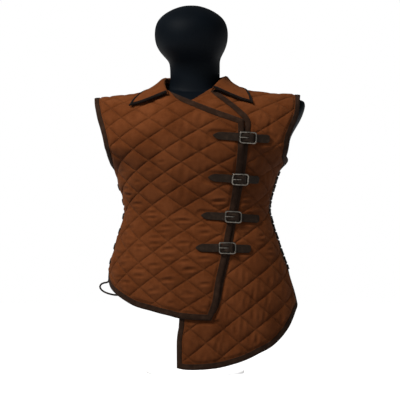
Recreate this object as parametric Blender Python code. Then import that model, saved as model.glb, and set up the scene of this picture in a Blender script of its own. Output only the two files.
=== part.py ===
"""Quilted sleeveless gambeson on a limbless dress form. Metres, +Z up, the front looks along -Y.

Every garment piece is drawn flat, in arc-length coordinates (u round the body, v up it), and laid on
one body surface. What lies on a piece is the same surface moved out, so all pieces stay clear.
Lengths in the tables and constants are millimetres and are turned into metres in one place.
"""
import bisect
import math

import bmesh
import bpy
from mathutils import Vector

MM = 0.001

# Layers, as distances out from the body surface
WALL = 3.0            # quilted wall in a stitched valley
PUFF = 3.8            # rise of a diamond's middle over its valleys
LIFT = 5.8            # the overlap rides this far out, over the other front
BIND_W = 14.0         # binding's width
SEAM = 0.2            # half the gap at a sewn seam
EDGE_GAP = 0.4        # between a quilted piece and its binding
TAPE_W = 14.0
TAPE_T = 1.0
TAPE_OFF = 0.97       # between the tape and the wall under it
CLEAR = 0.4
STRAP_CLEAR = 1.1
FORM_IN = 3.85        # the form's skin lies this far inside the garment's

# Body surface
SECTION_N = 2.4       # superellipse exponent of a level section
Z_TOP = 548.0         # the section stays the same above this height
CAP = 110.0           # height over which chest and back round over to the shoulder ridge

SIDE_COLUMNS = ("z", "right_side", "left_side")  # half-widths at the wearer's right (-X) and left (+X)
SIDE_ROWS = [
    (0, 207, 262), (60, 207, 256), (120, 207, 250), (163, 207, 245), (194, 207, 238), (220, 206, 230),
    (233, 205.5, 226), (248, 204, 222), (271, 199, 214), (292, 193, 206), (317, 186, 198), (347, 176, 188),
    (374, 169, 180.5), (389, 167, 177), (403, 167, 177), (418, 170, 179.5), (433, 173, 183), (452, 180, 188.5),
    (470, 184, 194), (487, 189, 200), (494, 193, 205), (508, 206, 219), (520, 222, 234), (535, 245, 254),
    (548, 262, 272), (720, 262, 272),
]
DEPTH_COLUMNS = ("z", "front", "back")
DEPTH_ROWS = [
    (0, 131, 120), (163, 128, 119), (230, 125, 117), (300, 117, 111), (360, 107, 103), (400, 104, 100),
    (450, 110, 105), (500, 118, 110), (548, 122, 112), (720, 122, 112),
]
RIDGE_COLUMNS = ("x", "z")
RIDGE_ROWS = [
    (0, 700.5), (60, 697.5), (76, 692.5), (90, 686.5), (106, 679.5), (132, 675), (156, 671.5), (200, 667),
    (245, 664), (280, 661.5),
]
RIDGE_TILT = 0.015    # the wearer's left shoulder is this much higher per millimetre out
WRAP_COLUMNS = ("z", "share")  # how much of the cloth's flat width a level takes
WRAP_ROWS = [(0, 0.93), (400, 0.93), (560, 1.0), (900, 1.0)]

# Outlines as seen from the front: x, z of the finished edge
EDGE_COLUMNS = ("x", "z")
OVER_HEM = [
    (-199.5, 210), (-189, 197), (-173.5, 185.3), (-159, 176.4), (-140, 166), (-121.5, 159.4), (-98, 153.6),
    (-73.5, 146.9), (-49, 141.6), (-25, 135.6), (8.6, 132), (49.6, 130.6),
]
CLOSING = [
    (49.6, 130.6), (59.7, 153.6), (66.9, 177.6), (74, 225.6), (84.4, 273.6), (95.5, 345.6), (106.1, 417.6),
    (116.6, 477.6), (125.1, 537.6), (126.6, 573.6), (125, 607),
]
OVER_NECKLINE = [(125, 607), (34.5, 639), (-53, 671)]
OVER_NECK = [(-53, 671), (-66, 681.5), (-75, 688)]
UNDER_EDGE = [(-22, 645), (-22, 500), (-22, 300), (-26, 134), (-29, 105.6), (-32, 81.6), (-32, 16.8)]
UNDER_HEM = [
    (-32, 16.8), (-15, 13.2), (8, 12.5), (27, 13), (47, 14.9), (71.5, 18.2), (95, 24), (118.6, 31.2), (142, 40.8),
    (165, 52.8), (188, 65.3), (210.5, 85.4), (230, 112.8), (239.5, 136.8), (243.5, 152),
]
UNDER_NECKLINE = [(45, 683), (24, 669), (1.5, 655), (-22, 645)]
UNDER_NECK = [(72, 690), (60, 689.5), (45, 683)]
BACK_HEM_SIDE = 224.0
BACK_HEM_MIDDLE = 203.0
ARM_COLUMNS = ("z", "x")
ARM_ROWS = {           # from the shoulder ridge down, by side and face
    (-1, -1): [(648, 240), (631, 235), (612, 229.5), (593, 222.5), (576, 217), (559, 212.5), (537.6, 207), (515, 202), (502, 198.5)],
    (1, -1): [(645, 254.5), (617, 252), (605, 248), (590, 242), (575, 236), (555, 231), (535, 227.5), (522, 224)],
    (-1, 1): [(648, 238), (631, 231), (612, 224), (593, 217), (576, 211), (559, 206), (537.6, 201), (517, 197)],
    (1, 1): [(648, 248), (636, 243), (618, 236), (600, 229), (575, 221), (550, 216), (530, 213)],
}
ARM_TIP = {-1: 244.6, 1: 255.0}
UNDERARM = {-1: 490.0, 1: 508.0}
NECK_X = {-1: 80.0, 1: 78.0}
BACK_NECK = [(60, 36), (46, 58), (24, 69), (0, 72)]  # x, y round the back of the neck
SIDE_GAP = 14.0

TAPE_LINE = [
    (51, 676), (66, 664), (106, 634), (130, 612.5), (136, 600), (134, 585), (130.5, 565), (128.5, 537.6), (120, 477.6),
    (108.5, 417.6), (96.5, 345.6), (84.5, 273.6), (73.5, 225.6), (65, 177.6), (54, 152),
]

# Quilting: where crossing d diamonds round and s up lies, as sums over these columns; the fronts' rows bend a little
QUILT_COLUMNS = ("at_0", "per_d", "per_s", "per_dd", "per_ds", "per_ss")
QUILT = {  # node: (round, up)
    "front_over": ((-102.0, 75.05, 1.09, 4.25, -1.18, 0.39), (564.4, -1.63, 51.29, -0.93, 0.97, -0.62)),
    "front_under": ((44.6, 84.3, 3.37, -0.83, -0.45, -0.38), (142.4, -1.38, 65.3, -0.03, -1.61, -0.51)),
    "back": ((0.0, 80.0, 0.0, 0.0, 0.0, 0.0), (560.0, 0.0, 55.2, 0.0, 0.0, 0.0)),
}

# Straps: x, z of the sewn left tip, the buckle's middle and the free right end
STRAP_COLUMNS = ("left_x", "left_z", "buckle_x", "buckle_z", "right_x", "right_z")
STRAP_ROWS = [
    (54.0, 570.5, 135.5, 566.0, 186.0, 561.0),
    (41.5, 473.5, 114.0, 469.5, 157.0, 467.0),
    (24.5, 379.0, 97.5, 375.5, 156.0, 370.0),
    (12.5, 302.0, 86.0, 301.0, 140.0, 299.5),
]
STRAP_W = 19.0
STRAP_T = 2.0
TAB_T = 1.4
BUCKLE_L, BUCKLE_W, BUCKLE_T = 43.0, 29.0, 2.6
BAR = 4.3
PIVOT_AT, PIVOT_W = 6.8, 3.4
PRONG_W, PRONG_T = 3.0, 1.6

# Laces: height of the top and bottom crossing by side, number of crossings, and how deep they dip between the edges
LACE_R = 1.7
LACE_IN = 7.0         # eyelets lie this far in from a side edge
LACE_OVER = 5.2       # a cord's underside over the body surface, where it crosses a binding
LACE_DIP = 0.3
LACE_COLUMNS = ("name", "side", "high", "low", "crossings")
LACE_ROWS = [("lace_right", -1, 468, 250, 12), ("lace_left", 1, 486, 252, 12)]
LOOP_COLUMNS = ("x", "y", "z")
LOOP_ROWS = [
    (-212.0, 10.5, 219.5), (-221.0, 9.5, 217.0), (-228.5, 9.0, 214.0), (-232.0, 8.0, 207.6),
    (-228.5, 6.0, 200.4), (-219.0, 3.0, 194.2), (-205.0, -3.0, 189.8), (-190.0, -10.0, 187.8), (-172.0, -18.0, 189.0),
    (-158.0, -24.0, 193.0),
]
LOOP_R = 2.2
LOOP_OVER = 4.1       # the loop's underside over the body surface, where it leaves the back's binding

# Collar stations from the front end to the middle of the back: base, roll and outer edge
COLLAR_COLUMNS = ("side", "base_x", "base_y", "base_z", "roll_x", "roll_y", "roll_z", "edge_x", "edge_y", "edge_z")
COLLAR_ROWS = [
    (-1, 55, -97, 669, 57, -100, 674, 152, -85, 644),
    (-1, 64, -74, 684.5, 67, -76, 693, 141, -64, 662),
    (-1, 70, -40, 695, 71, -40, 706, 126, -34, 677),
    (-1, 71, 0, 699, 71, 0, 711, 110, 0, 683.5),
    (-1, 63, 36, 698, 65, 39, 712, 101, 44, 681),
    (-1, 46, 60, 690, 49, 64, 712, 75, 76, 672),
    (-1, 24, 71, 683, 25, 75, 711, 40, 91, 663),
    (1, 0, 74, 681, 0, 78, 711, 0, 96, 660),
    (1, 24, 71, 683, 25, 75, 711, 40, 91, 663),
    (1, 46, 60, 690, 49, 64, 713, 75, 76, 672),
    (1, 63, 36, 699, 66, 39, 715, 101, 44, 682),
    (1, 70, 0, 700, 72, 0, 715, 112, 0, 686),
    (1, 67, -35, 700.5, 70, -35, 711, 128, -32, 682),
    (1, 58, -60, 693, 62, -61, 702, 139, -60, 668),
    (1, 48, -86, 680, 50, -89, 685.5, 147, -84, 650),
]
COLLAR_FINE = (0, 1, 2, 3, 10, 11, 12, 13)  # the stretches of the leaves that get a row between
COLLAR_T = 3.4
COLLAR_BIND = 7.5

# Dress form: head and neck rows, from the crown down
HEAD_COLUMNS = ("z", "half_width", "front", "back", "x")
HEAD_ROWS = [
    (884.5, 20, 45, -5, -7), (878, 41, 68, 18, -7), (867, 61.5, 89, 40, -7), (853, 77, 105, 57, -7), (836, 85.5, 115, 69, -7),
    (815, 88, 119, 76, -7), (793, 85, 114, 76, -7), (775, 77, 101, 70, -6), (761, 67.5, 84, 63, -4), (749, 61.5, 70, 58, -1),
    (732, 60, 60, 56, 0), (708, 60, 57, 57, 0),
]
CROWN = (-7, -20, 886.5)
TOP_COLUMNS = ("half_x_right", "half_x_left", "half_y")
TOP_ROWS = [(65, 65, 60), (90, 90, 66), (130, 130, 74), (172, 174, 84), (210, 214, 95), (232, 244, 104), (240, 258.5, 110)]
CAP_COLUMNS = ("z_side", "z_front", "right", "left")
CAP_ROWS = [
    (652, 622, 241, 265), (634, 611, 239, 263.5), (612, 598, 234, 255), (590, 584, 226, 243), (566, 566, 217, 231),
    (540, 540, 208, 226), (510, 510, 200, 215),
]
LOW_LEVELS = [478, 446, 414, 382, 350, 318, 286, 258, 236]
FORM_COLUMNS = 26
POST_R, POST_LOW, POST_HIGH = 14.0, 8.2, 235.8
BASE_R, BASE_T = 118.0, 8.0


# ---------------------------------------------------------------- numbers
def smooth(t):
    t = min(1.0, max(0.0, t))
    return t * t * (3 - 2 * t)


def curve_at(rows, x, column=1):
    """A smooth curve through the rows' column, by their first column."""
    xs = [r[0] for r in rows]
    if xs[0] > xs[-1]:
        rows, xs = rows[::-1], xs[::-1]
    if x <= xs[0]:
        return rows[0][column]
    if x >= xs[-1]:
        return rows[-1][column]
    i = bisect.bisect_right(xs, x) - 1
    x0, x1, y0, y1 = xs[i], xs[i + 1], rows[i][column], rows[i + 1][column]
    step = (y1 - y0) / (x1 - x0)

    def slope(k):
        if k <= 0 or k >= len(rows) - 1:
            return step
        a = (rows[k][column] - rows[k - 1][column]) / (xs[k] - xs[k - 1])
        b = (rows[k + 1][column] - rows[k][column]) / (xs[k + 1] - xs[k])
        return 0.0 if a * b <= 0 else 2 * a * b / (a + b)

    h, t = x1 - x0, (x - x0) / (x1 - x0)
    return (y0 * (1 + 2 * t) * (1 - t) ** 2 + y1 * t * t * (3 - 2 * t)
            + slope(i) * h * t * (1 - t) ** 2 - slope(i + 1) * h * t * t * (1 - t))


def spline(points, step):
    """Points about step apart on a smooth line through the given ones, of any size."""
    pts, out = points, [tuple(points[0])]
    for i in range(len(pts) - 1):
        a, b = pts[i], pts[i + 1]
        before = pts[i - 1] if i else tuple(2 * p - q for p, q in zip(a, b))
        after = pts[i + 2] if i + 2 < len(pts) else tuple(2 * q - p for p, q in zip(a, b))
        n = max(1, round(math.dist(a, b) / step))
        for k in range(1, n + 1):
            t = k / n
            out.append(tuple(
                0.5 * (2 * q + (r - p) * t + (2 * p - 5 * q + 4 * r - s) * t * t + (3 * q - p - 3 * r + s) * t ** 3)
                for p, q, r, s in zip(before, a, b, after)))
    return out


def even(points, step):
    """The line again, with points at one even spacing near step."""
    along = [0.0]
    for a, b in zip(points, points[1:]):
        along.append(along[-1] + math.dist(a, b))
    n = max(1, round(along[-1] / step))
    out = []
    for k in range(n + 1):
        s = along[-1] * k / n
        i = min(len(points) - 2, max(0, bisect.bisect_right(along, s) - 1))
        t = (s - along[i]) / max(1e-9, along[i + 1] - along[i])
        out.append(tuple(p + (q - p) * t for p, q in zip(points[i], points[i + 1])))
    return out


# ---------------------------------------------------------------- body surface
_sections = {}


def section(side, face, z):
    """The level section's quarter from the middle line to the side: arc length, x and y of its points."""
    z = round(min(Z_TOP, z), 1)
    key = (side, face, z)
    if key not in _sections:
        a = curve_at(SIDE_ROWS, z, 1 if side < 0 else 2)
        d = curve_at(DEPTH_ROWS, z, 1 if face < 0 else 2)
        rows, u, last = [], 0.0, None
        for i in range(121):
            f = i / 120 * math.pi / 2
            x, y = a * math.sin(f) ** (2 / SECTION_N), d * max(0.0, math.cos(f)) ** (2 / SECTION_N)
            if last:
                u += math.dist((x, y), last)
            last = (x, y)
            rows.append((u, x, y))
        _sections[key] = rows
    return _sections[key]


def along(rows, value, given, wanted):
    keys = [r[given] for r in rows]
    i = min(len(rows) - 2, max(0, bisect.bisect_right(keys, value) - 1))
    k0, k1 = keys[i], keys[i + 1]
    t = min(1.0, max(0.0, (value - k0) / max(1e-9, k1 - k0)))
    return tuple(rows[i][w] + (rows[i + 1][w] - rows[i][w]) * t for w in wanted)


def ridge(x):
    return curve_at(RIDGE_ROWS, abs(x)) + RIDGE_TILT * x


def over_shoulder(y):
    """Length of the quarter turn from the chest or back up to the ridge."""
    h = ((y - CAP) / (y + CAP)) ** 2
    return math.pi / 4 * (y + CAP) * (1 + 3 * h / (10 + math.sqrt(4 - 3 * h)))


def wrap(z):
    return curve_at(WRAP_ROWS, z)


def side_u(side, face, z):
    """Flat distance from the middle line to the side."""
    return section(side, face, z)[-1][0] / wrap(min(z, Z_TOP))


def fold(side, face, x, z):
    """Soft folds of the free skirt, out from the body."""
    low = smooth((215 - z) / 120)
    return low * (3.2 * math.sin(x / 21.0 + 0.6 + z / 160) + 1.4 * math.sin(x / 9.5 + 2.0))


def place(face, u, v):
    """The point of the body surface at flat (u, v), on the front (face -1) or back (+1)."""
    side = -1 if u < 0 else 1
    if v <= Z_TOP:
        x, y = along(section(side, face, v), abs(u) * wrap(v), 0, (1, 2))
        y += fold(side, face, side * x, v)
        return Vector((side * x, face * y, v))
    x, y = along(section(side, face, Z_TOP), abs(u) * wrap(Z_TOP), 0, (1, 2))
    turn = ridge(side * x) - CAP
    if v <= turn:
        return Vector((side * x, face * y, v))
    f = min(1.0, (v - turn) / over_shoulder(y)) * math.pi / 2
    return Vector((side * x, face * y * math.cos(f), turn + CAP * math.sin(f)))


def top_v(u, face):
    side = -1 if u < 0 else 1
    x, y = along(section(side, face, Z_TOP), abs(u), 0, (1, 2))
    return ridge(side * x) - CAP + over_shoulder(y)


def flat(face, x, z):
    """Flat (u, v) of the surface point seen at x, z."""
    side = -1 if x < 0 else 1
    rows = section(side, face, z)
    u, y = along(rows, abs(x), 1, (0, 2))
    if z > Z_TOP:
        turn = ridge(x) - CAP
        if z > turn:
            f = math.asin(min(1.0, (z - turn) / CAP))
            return side * u, turn + f / (math.pi / 2) * over_shoulder(y)
        return side * u, z
    return side * u / wrap(z), z


def outward(face, u, v):
    side = -1 if u < 0 else 1
    limit = side_u(side, face, v)
    u0, u1 = u - 1.0, u + 1.0
    if u1 > limit and side > 0:
        u0, u1 = limit - 2.0, limit
    if u0 < -limit and side < 0:
        u0, u1 = -limit, -limit + 2.0
    roof = top_v(u, face)
    v0, v1 = (v - 1.0, v + 1.0) if v + 1.0 < roof else (roof - 2.0, roof)
    a = place(face, u1, v) - place(face, u0, v)
    b = place(face, u, v1) - place(face, u, v0)
    return (a.cross(b) * -face).normalized()


def out(face, u, v, h):
    return place(face, u, v) + outward(face, u, v) * h


def lift(u):
    """How far out the overlapping front rides."""
    return LIFT * smooth((u + 88) / 44)


# ---------------------------------------------------------------- meshes
def body(name, verts, faces, colour):
    bm = bmesh.new()
    vs = [bm.verts.new(Vector(p) * MM) for p in verts]
    for f in faces:
        bm.faces.new([vs[i] for i in f])
    bmesh.ops.recalc_face_normals(bm, faces=bm.faces)
    bmesh.ops.triangulate(bm, faces=[f for f in bm.faces if len(f.verts) > 4])
    mesh = bpy.data.meshes.new(name)
    bm.to_mesh(mesh)
    bm.free()
    mesh.materials.append(paint(colour))
    obj = bpy.data.objects.new(name, mesh)
    bpy.context.scene.collection.objects.link(obj)
    return obj


COLOURS = {
    "quilted_cloth": (0.14, 0.045, 0.016), "binding": (0.035, 0.018, 0.011), "leather": (0.03, 0.018, 0.011),
    "pewter": (0.5, 0.5, 0.48), "lace": (0.025, 0.014, 0.009), "form_cover": (0.006, 0.008, 0.011),
    "pale_paint": (0.8, 0.8, 0.8),
}


def paint(name):
    m = bpy.data.materials.get(name) or bpy.data.materials.new(name)
    m.diffuse_color = (*COLOURS[name], 1)
    return m


def slab(name, top, bottom, colour, missing=()):
    """A closed sheet from two grids of points; missing cells are holes."""
    n, m = len(top), len(top[0])
    cells = {(i, j) for i in range(n - 1) for j in range(m - 1)} - set(missing)
    verts, index, faces = [], {}, []

    def at(layer, i, j):
        if (layer, i, j) not in index:
            index[layer, i, j] = len(verts)
            verts.append((top, bottom)[layer][i][j])
        return index[layer, i, j]

    for i, j in sorted(cells):
        ring = [(i, j), (i + 1, j), (i + 1, j + 1), (i, j + 1)]
        faces.append([at(0, *p) for p in ring])
        faces.append([at(1, *p) for p in reversed(ring)])
        beside = [(i, j - 1), (i + 1, j), (i, j + 1), (i - 1, j)]
        for k, other in enumerate(beside):
            if other not in cells:
                a, b = ring[k], ring[(k + 1) % 4]
                faces.append([at(0, *b), at(0, *a), at(1, *a), at(1, *b)])
    return body(name, verts, faces, colour)


def rod(name, sections, colour, closed=False):
    """A closed body through rings of points; a ring of one point is a tip."""
    verts, faces, starts = [], [], []
    for ring in sections:
        starts.append(len(verts))
        verts.extend(ring)
    n = max(len(r) for r in sections)
    count = len(sections)
    for k in range(count if closed else count - 1):
        a, b = k, (k + 1) % count
        for i in range(n):
            j = (i + 1) % n
            p = [starts[a] + (i if len(sections[a]) > 1 else 0), starts[a] + (j if len(sections[a]) > 1 else 0),
                 starts[b] + (j if len(sections[b]) > 1 else 0), starts[b] + (i if len(sections[b]) > 1 else 0)]
            faces.append(list(dict.fromkeys(p)))
    if not closed:
        if len(sections[0]) > 1:
            faces.append([starts[0] + i for i in range(n)])
        if len(sections[-1]) > 1:
            faces.append([starts[-1] + i for i in reversed(range(n))])
    return body(name, verts, faces, colour)


def tube(name, path, radius, sides, colour):
    """A round cord along the path."""
    pts = [Vector(p) for p in path]
    normal = None
    rings = []
    for i, p in enumerate(pts):
        d = (pts[min(i + 1, len(pts) - 1)] - pts[max(i - 1, 0)]).normalized()
        if normal is None:
            normal = d.orthogonal().normalized()
        normal = (normal - d * normal.dot(d)).normalized()
        side = d.cross(normal)
        turns = [2 * math.pi * k / sides for k in range(sides)]
        rings.append([p + (normal * math.cos(f) + side * math.sin(f)) * radius for f in turns])
    return rod(name, rings, colour)


# ---------------------------------------------------------------- flat pieces
def offset_corner(a, b, c, d0, d1):
    """Where the edges a-b and b-c meet after each moved in by its own distance; the inside is on the left."""
    e0, e1 = (Vector(b) - Vector(a)).normalized(), (Vector(c) - Vector(b)).normalized()
    n0, n1 = Vector((-e0.y, e0.x)), Vector((-e1.y, e1.x))
    cross = e0.x * e1.y - e0.y * e1.x
    if abs(cross) < 0.05:
        n = (n0 + n1).normalized()
        return Vector(b) + n * ((d0 + d1) / 2 / max(0.5, n.dot(n0)))
    p, q = Vector(b) + n0 * d0, Vector(b) + n1 * d1
    t = ((q.x - p.x) * e1.y - (q.y - p.y) * e1.x) / cross
    return p + e0 * t


class Outline:
    """A piece's closed outline, run with the inside on the left, as named edges of flat points."""

    def __init__(self, edges):
        self.points, self.owner, self.first = [], [], {}
        for name, pts in edges:
            self.first[name] = len(self.points)
            for p in pts[:-1]:
                self.points.append(tuple(p))
                self.owner.append(name)
        self.names = [e[0] for e in edges]

    def inset(self, widths):
        n, pts = len(self.points), self.points
        return [offset_corner(pts[i - 1], pts[i], pts[(i + 1) % n], widths[self.owner[i - 1]], widths[self.owner[i]])
                for i in range(n)]

    def settle(self, widths, least=3.0):
        """Drops points that crowd a corner once the outline is drawn in."""
        while True:
            moved, n = self.inset(widths), len(self.points)
            corners = set(self.first.values())
            drop = None
            for i in range(n):
                j = (i + 1) % n
                d = (Vector(self.points[j]) - Vector(self.points[i])).normalized()
                if (moved[j] - moved[i]).dot(d) < least:
                    drop = next((k for k in (j, i) if k not in corners), None)
                    if drop is not None:
                        break
            if drop is None:
                return self
            del self.points[drop], self.owner[drop]
            self.first = {k: v - (v > drop) for k, v in self.first.items()}

    def span(self, name, last=None):
        """Indices of an edge's points, or of several edges' in a row, with both ends."""
        i, n = self.first[name], len(self.points)
        last = last or name
        k = (self.names.index(last) + 1) % len(self.names)
        stop = self.first[self.names[k]]
        out_ = [i]
        while out_[-1] != stop or len(out_) == 1:
            out_.append((out_[-1] + 1) % n)
        return out_


def cut(polygon, lines, snap=0.7):
    """A flat mesh of the polygon, cut by the lines (point, normal)."""
    bm = bmesh.new()
    bm.faces.new([bm.verts.new((p[0], p[1], 0)) for p in polygon])
    for co, no in lines:
        bmesh.ops.bisect_plane(bm, geom=bm.verts[:] + bm.edges[:] + bm.faces[:], dist=snap,
                               plane_co=(co[0], co[1], 0), plane_no=(no[0], no[1], 0))
    bmesh.ops.triangulate(bm, faces=bm.faces[:])
    bm.verts.index_update()
    return bm


def border(bm, start):
    """The boundary's vertices in order from the corner at start, with their distance along it."""
    nxt = {}
    for e in bm.edges:
        if len(e.link_faces) == 1:
            loop = e.link_faces[0].loops
            for lp in loop:
                if lp.edge == e:
                    nxt[lp.vert.index] = lp.link_loop_next.vert.index
    bm.verts.ensure_lookup_table()
    first = min(nxt, key=lambda i: math.dist(bm.verts[i].co[:2], start))
    ring, s = [(first, 0.0)], 0.0
    i = nxt[first]
    while i != first:
        s += (bm.verts[i].co - bm.verts[ring[-1][0]].co).length
        ring.append((i, s))
        i = nxt[i]
    return ring


def inner_lines(us, vs):
    """Cuts of the plain inside: upright ones, and level ones that are closer over the shoulder."""
    lines = [((24.0 * k, 0), (1, 0)) for k in range(math.ceil(min(us) / 24), math.floor(max(us) / 24) + 1)]
    v = 20.0
    while v < max(vs):
        if v > min(vs):
            lines.append(((0, v), (0, 1)))
        v += 40.0 if v < 560 else 27.0
    return lines


def rim_shares(polygon, ring):
    """For each boundary vertex, the polygon edge it is on and its share along that edge."""
    ends = [0.0]
    for a, b in zip(polygon, polygon[1:] + polygon[:1]):
        ends.append(ends[-1] + (Vector(b) - Vector(a)).length)
    res = {}
    for i, s in ring:
        k = min(len(polygon) - 1, max(0, bisect.bisect_right(ends, s + 1e-4) - 1))
        res[i] = (k, min(1.0, max(0.0, (s - ends[k]) / (ends[k + 1] - ends[k]))))
    return res


def crossing(name, d, s):
    """The flat point that lies d diamonds round and s up."""
    return tuple(sum(c * t for c, t in zip(row, (1, d, s, d * d, d * s, s * s))) for row in QUILT[name])


def diamonds_at(name, u, v):
    """How many diamonds round and up a flat point lies."""
    (u0, wide, *_), (v0, _, tall, *_) = QUILT[name]
    d, s = (u - u0) / wide, (v - v0) / tall
    for _ in range(12):
        x, y = crossing(name, d, s)
        d, s = d + (u - x) / wide, s + (v - y) / tall
    return d, s


def quilted(name, face, polygon, relief, base, colour="quilted_cloth"):
    """A quilted piece: raised outer diamonds over a plain inside, joined round the rim.

    The outer side is cut on a sheet where the seams run straight, and then laid on the flat piece."""
    wide, tall = QUILT[name][0][1], QUILT[name][1][2]
    us, vs = [p[0] for p in polygon], [p[1] for p in polygon]
    straight = [(d * wide, s * tall) for d, s in (diamonds_at(name, *p) for p in polygon)]

    def family(sign, shares):
        no = Vector((1 / wide * sign, 1 / tall)).normalized()
        values = [y / tall + sign * x / wide for x, y in straight]
        return [((0, (k + share) * tall), no) for k in range(math.floor(min(values)), math.ceil(max(values)) + 1) for share in shares]

    outer = cut(straight, family(1, (0, 1 / 3, 2 / 3)) + family(-1, (0, 1 / 3, 2 / 3)))
    inner = cut(polygon, inner_lines(us, vs))
    ro, ri = border(outer, straight[0]), border(inner, polygon[0])
    n = len(polygon)
    verts, faces = [], []

    def on_rim(shares, v, h):
        """A boundary point, on the straight line between its two corners so that it follows the binding."""
        k, t = shares[v.index]
        a, b = polygon[k], polygon[(k + 1) % n]
        return out(face, *a, base(a[0]) + h).lerp(out(face, *b, base(b[0]) + h), t)

    outer_rim, inner_rim = rim_shares(straight, ro), rim_shares(polygon, ri)
    for v in outer.verts:
        d, s = v.co.x / wide, v.co.y / tall
        u_, v_ = crossing(name, d, s)
        a, b = (s + d) % 1.0, (s - d) % 1.0
        puff = (1 - (2 * a - 1) ** 2) * (1 - (2 * b - 1) ** 2)
        verts.append(on_rim(outer_rim, v, WALL) if v.index in outer_rim else out(face, u_, v_, base(u_) + WALL + PUFF * puff * relief(u_, v_)))
    shift = len(verts)
    for v in inner.verts:
        verts.append(on_rim(inner_rim, v, 0.0) if v.index in inner_rim else out(face, v.co.x, v.co.y, base(v.co.x)))
    for f in outer.faces:
        faces.append([v.index for v in f.verts])
    for f in inner.faces:
        faces.append([v.index + shift for v in reversed(f.verts)])
    ro = [(i, sum(outer_rim[i])) for i, _ in ro] + [(ro[0][0], n)]
    ri = [(i, sum(inner_rim[i])) for i, _ in ri] + [(ri[0][0], n)]
    i = j = 0
    while i < len(ro) - 1 or j < len(ri) - 1:
        if j >= len(ri) - 1 or (i < len(ro) - 1 and ro[i + 1][1] <= ri[j + 1][1]):
            faces.append([ro[i][0], ri[j][0] + shift, ro[i + 1][0]])
            i += 1
        else:
            faces.append([ro[i][0], ri[j][0] + shift, ri[j + 1][0] + shift])
            j += 1
    outer.free()
    inner.free()
    return body(name, verts, faces, colour)


BIND_PROFILE = [(0.0, -0.3), (0.0, 3.5), (0.45, 4.2), (0.9, 3.4), (1.0, 1.5), (0.9, -0.1)]  # across, out


def binding(name, stations, base=lambda u: 0.0):
    """A strip round an edge. Each station is (face, outer flat point, inner flat point)."""
    rings = []
    for face, o, i in stations:
        ring = []
        for q, h in BIND_PROFILE:
            u, v = i[0] + (o[0] - i[0]) * q, i[1] + (o[1] - i[1]) * q
            ring.append(out(face, u, v, h + (base(u) if face < 0 else 0.0)))
        rings.append(ring)
    return rod(name, rings, "binding")


def trimmed(stations, start=0.2, end=0.2):
    """The stations, with the ends drawn back along the strip."""
    st = [list(s) for s in stations]
    for k, n, by in ((0, 1, start), (-1, -2, end)):
        for w in (1, 2):
            a, b = Vector(st[k][w]), Vector(st[n][w])
            d = b - a
            if d.length > 1e-6:
                st[k][w] = tuple(a + d.normalized() * by)
    return [tuple(s) for s in st]


def strip_of(outline, inner, face, first, last):
    return [(face, outline.points[i], tuple(inner[i])) for i in outline.span(first, last)]


# ---------------------------------------------------------------- outlines
def seen(face, points, step):
    """Flat points, about step apart, of an edge given by x and z."""
    return even([flat(face, x, z) for x, z in spline(points, 10)], step)


def side_points(side, face, z0, z1, gap=0.0, step=25.0):
    n = max(2, round(abs(z1 - z0) / step))
    return [(side * (side_u(side, face, z0 + (z1 - z0) * k / n) - gap), z0 + (z1 - z0) * k / n) for k in range(n + 1)]


def shoulder_points(face, x0, x1, step=24.0):
    n = max(1, round(abs(x1 - x0) / step))
    return [flat(face, x0 + (x1 - x0) * k / n, 900) for k in range(n + 1)]


def arm_points(side, face, gap, step=18.0):
    """From the shoulder ridge down to the underarm corner."""
    low = UNDERARM[side]
    pts = [flat(face, side * ARM_TIP[side], 900)]
    pts += [flat(face, side * x, z) for z, x in ARM_ROWS[side, face]]
    pts.append((side * (side_u(side, face, low) - gap), low))
    return even(spline(pts, 9), step)


def neck_ridge(side, face):
    return flat(face, side * NECK_X[side], 900)


def over_outline():
    f = -1
    side = side_points(-1, f, UNDERARM[-1], 240)
    hem = even(spline([side[-1]] + [flat(f, x, z) for x, z in OVER_HEM], 9), 20)
    closing = seen(f, CLOSING, 27)
    neckline = seen(f, OVER_NECKLINE, 24)
    neck = even([flat(f, x, z) for x, z in spline(OVER_NECK, 8)] + [neck_ridge(-1, f)], 12)
    shoulder = shoulder_points(f, -NECK_X[-1], -ARM_TIP[-1])
    arm = arm_points(-1, f, 0)
    return Outline([("side", side), ("hem", hem), ("closing", closing), ("neckline", neckline), ("neck", neck),
                    ("shoulder", shoulder), ("armhole", arm)])


def under_outline():
    f = -1
    edge = seen(f, UNDER_EDGE, 34)
    side = side_points(1, f, 163.4, UNDERARM[1])
    hem = even(spline([flat(f, x, z) for x, z in UNDER_HEM] + [side[0]], 9), 20)
    arm = arm_points(1, f, 0)[::-1]
    shoulder = shoulder_points(f, ARM_TIP[1], NECK_X[1])
    neck = even([neck_ridge(1, f)] + [flat(f, x, z) for x, z in spline(UNDER_NECK, 8)], 12)
    neckline = seen(f, UNDER_NECKLINE, 16)
    return Outline([("edge", edge), ("hem", hem), ("side", side), ("armhole", arm), ("shoulder", shoulder),
                    ("neck", neck), ("neckline", neckline)])


def back_neck_v(x, y):
    """Flat point of the back at x where the surface is y behind the ridge."""
    side = -1 if x < 0 else 1
    u, full = along(section(side, 1, Z_TOP), abs(x), 1, (0, 2))
    f = math.acos(min(1.0, y / full))
    return side * u, ridge(x) - CAP + f / (math.pi / 2) * over_shoulder(full)


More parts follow.
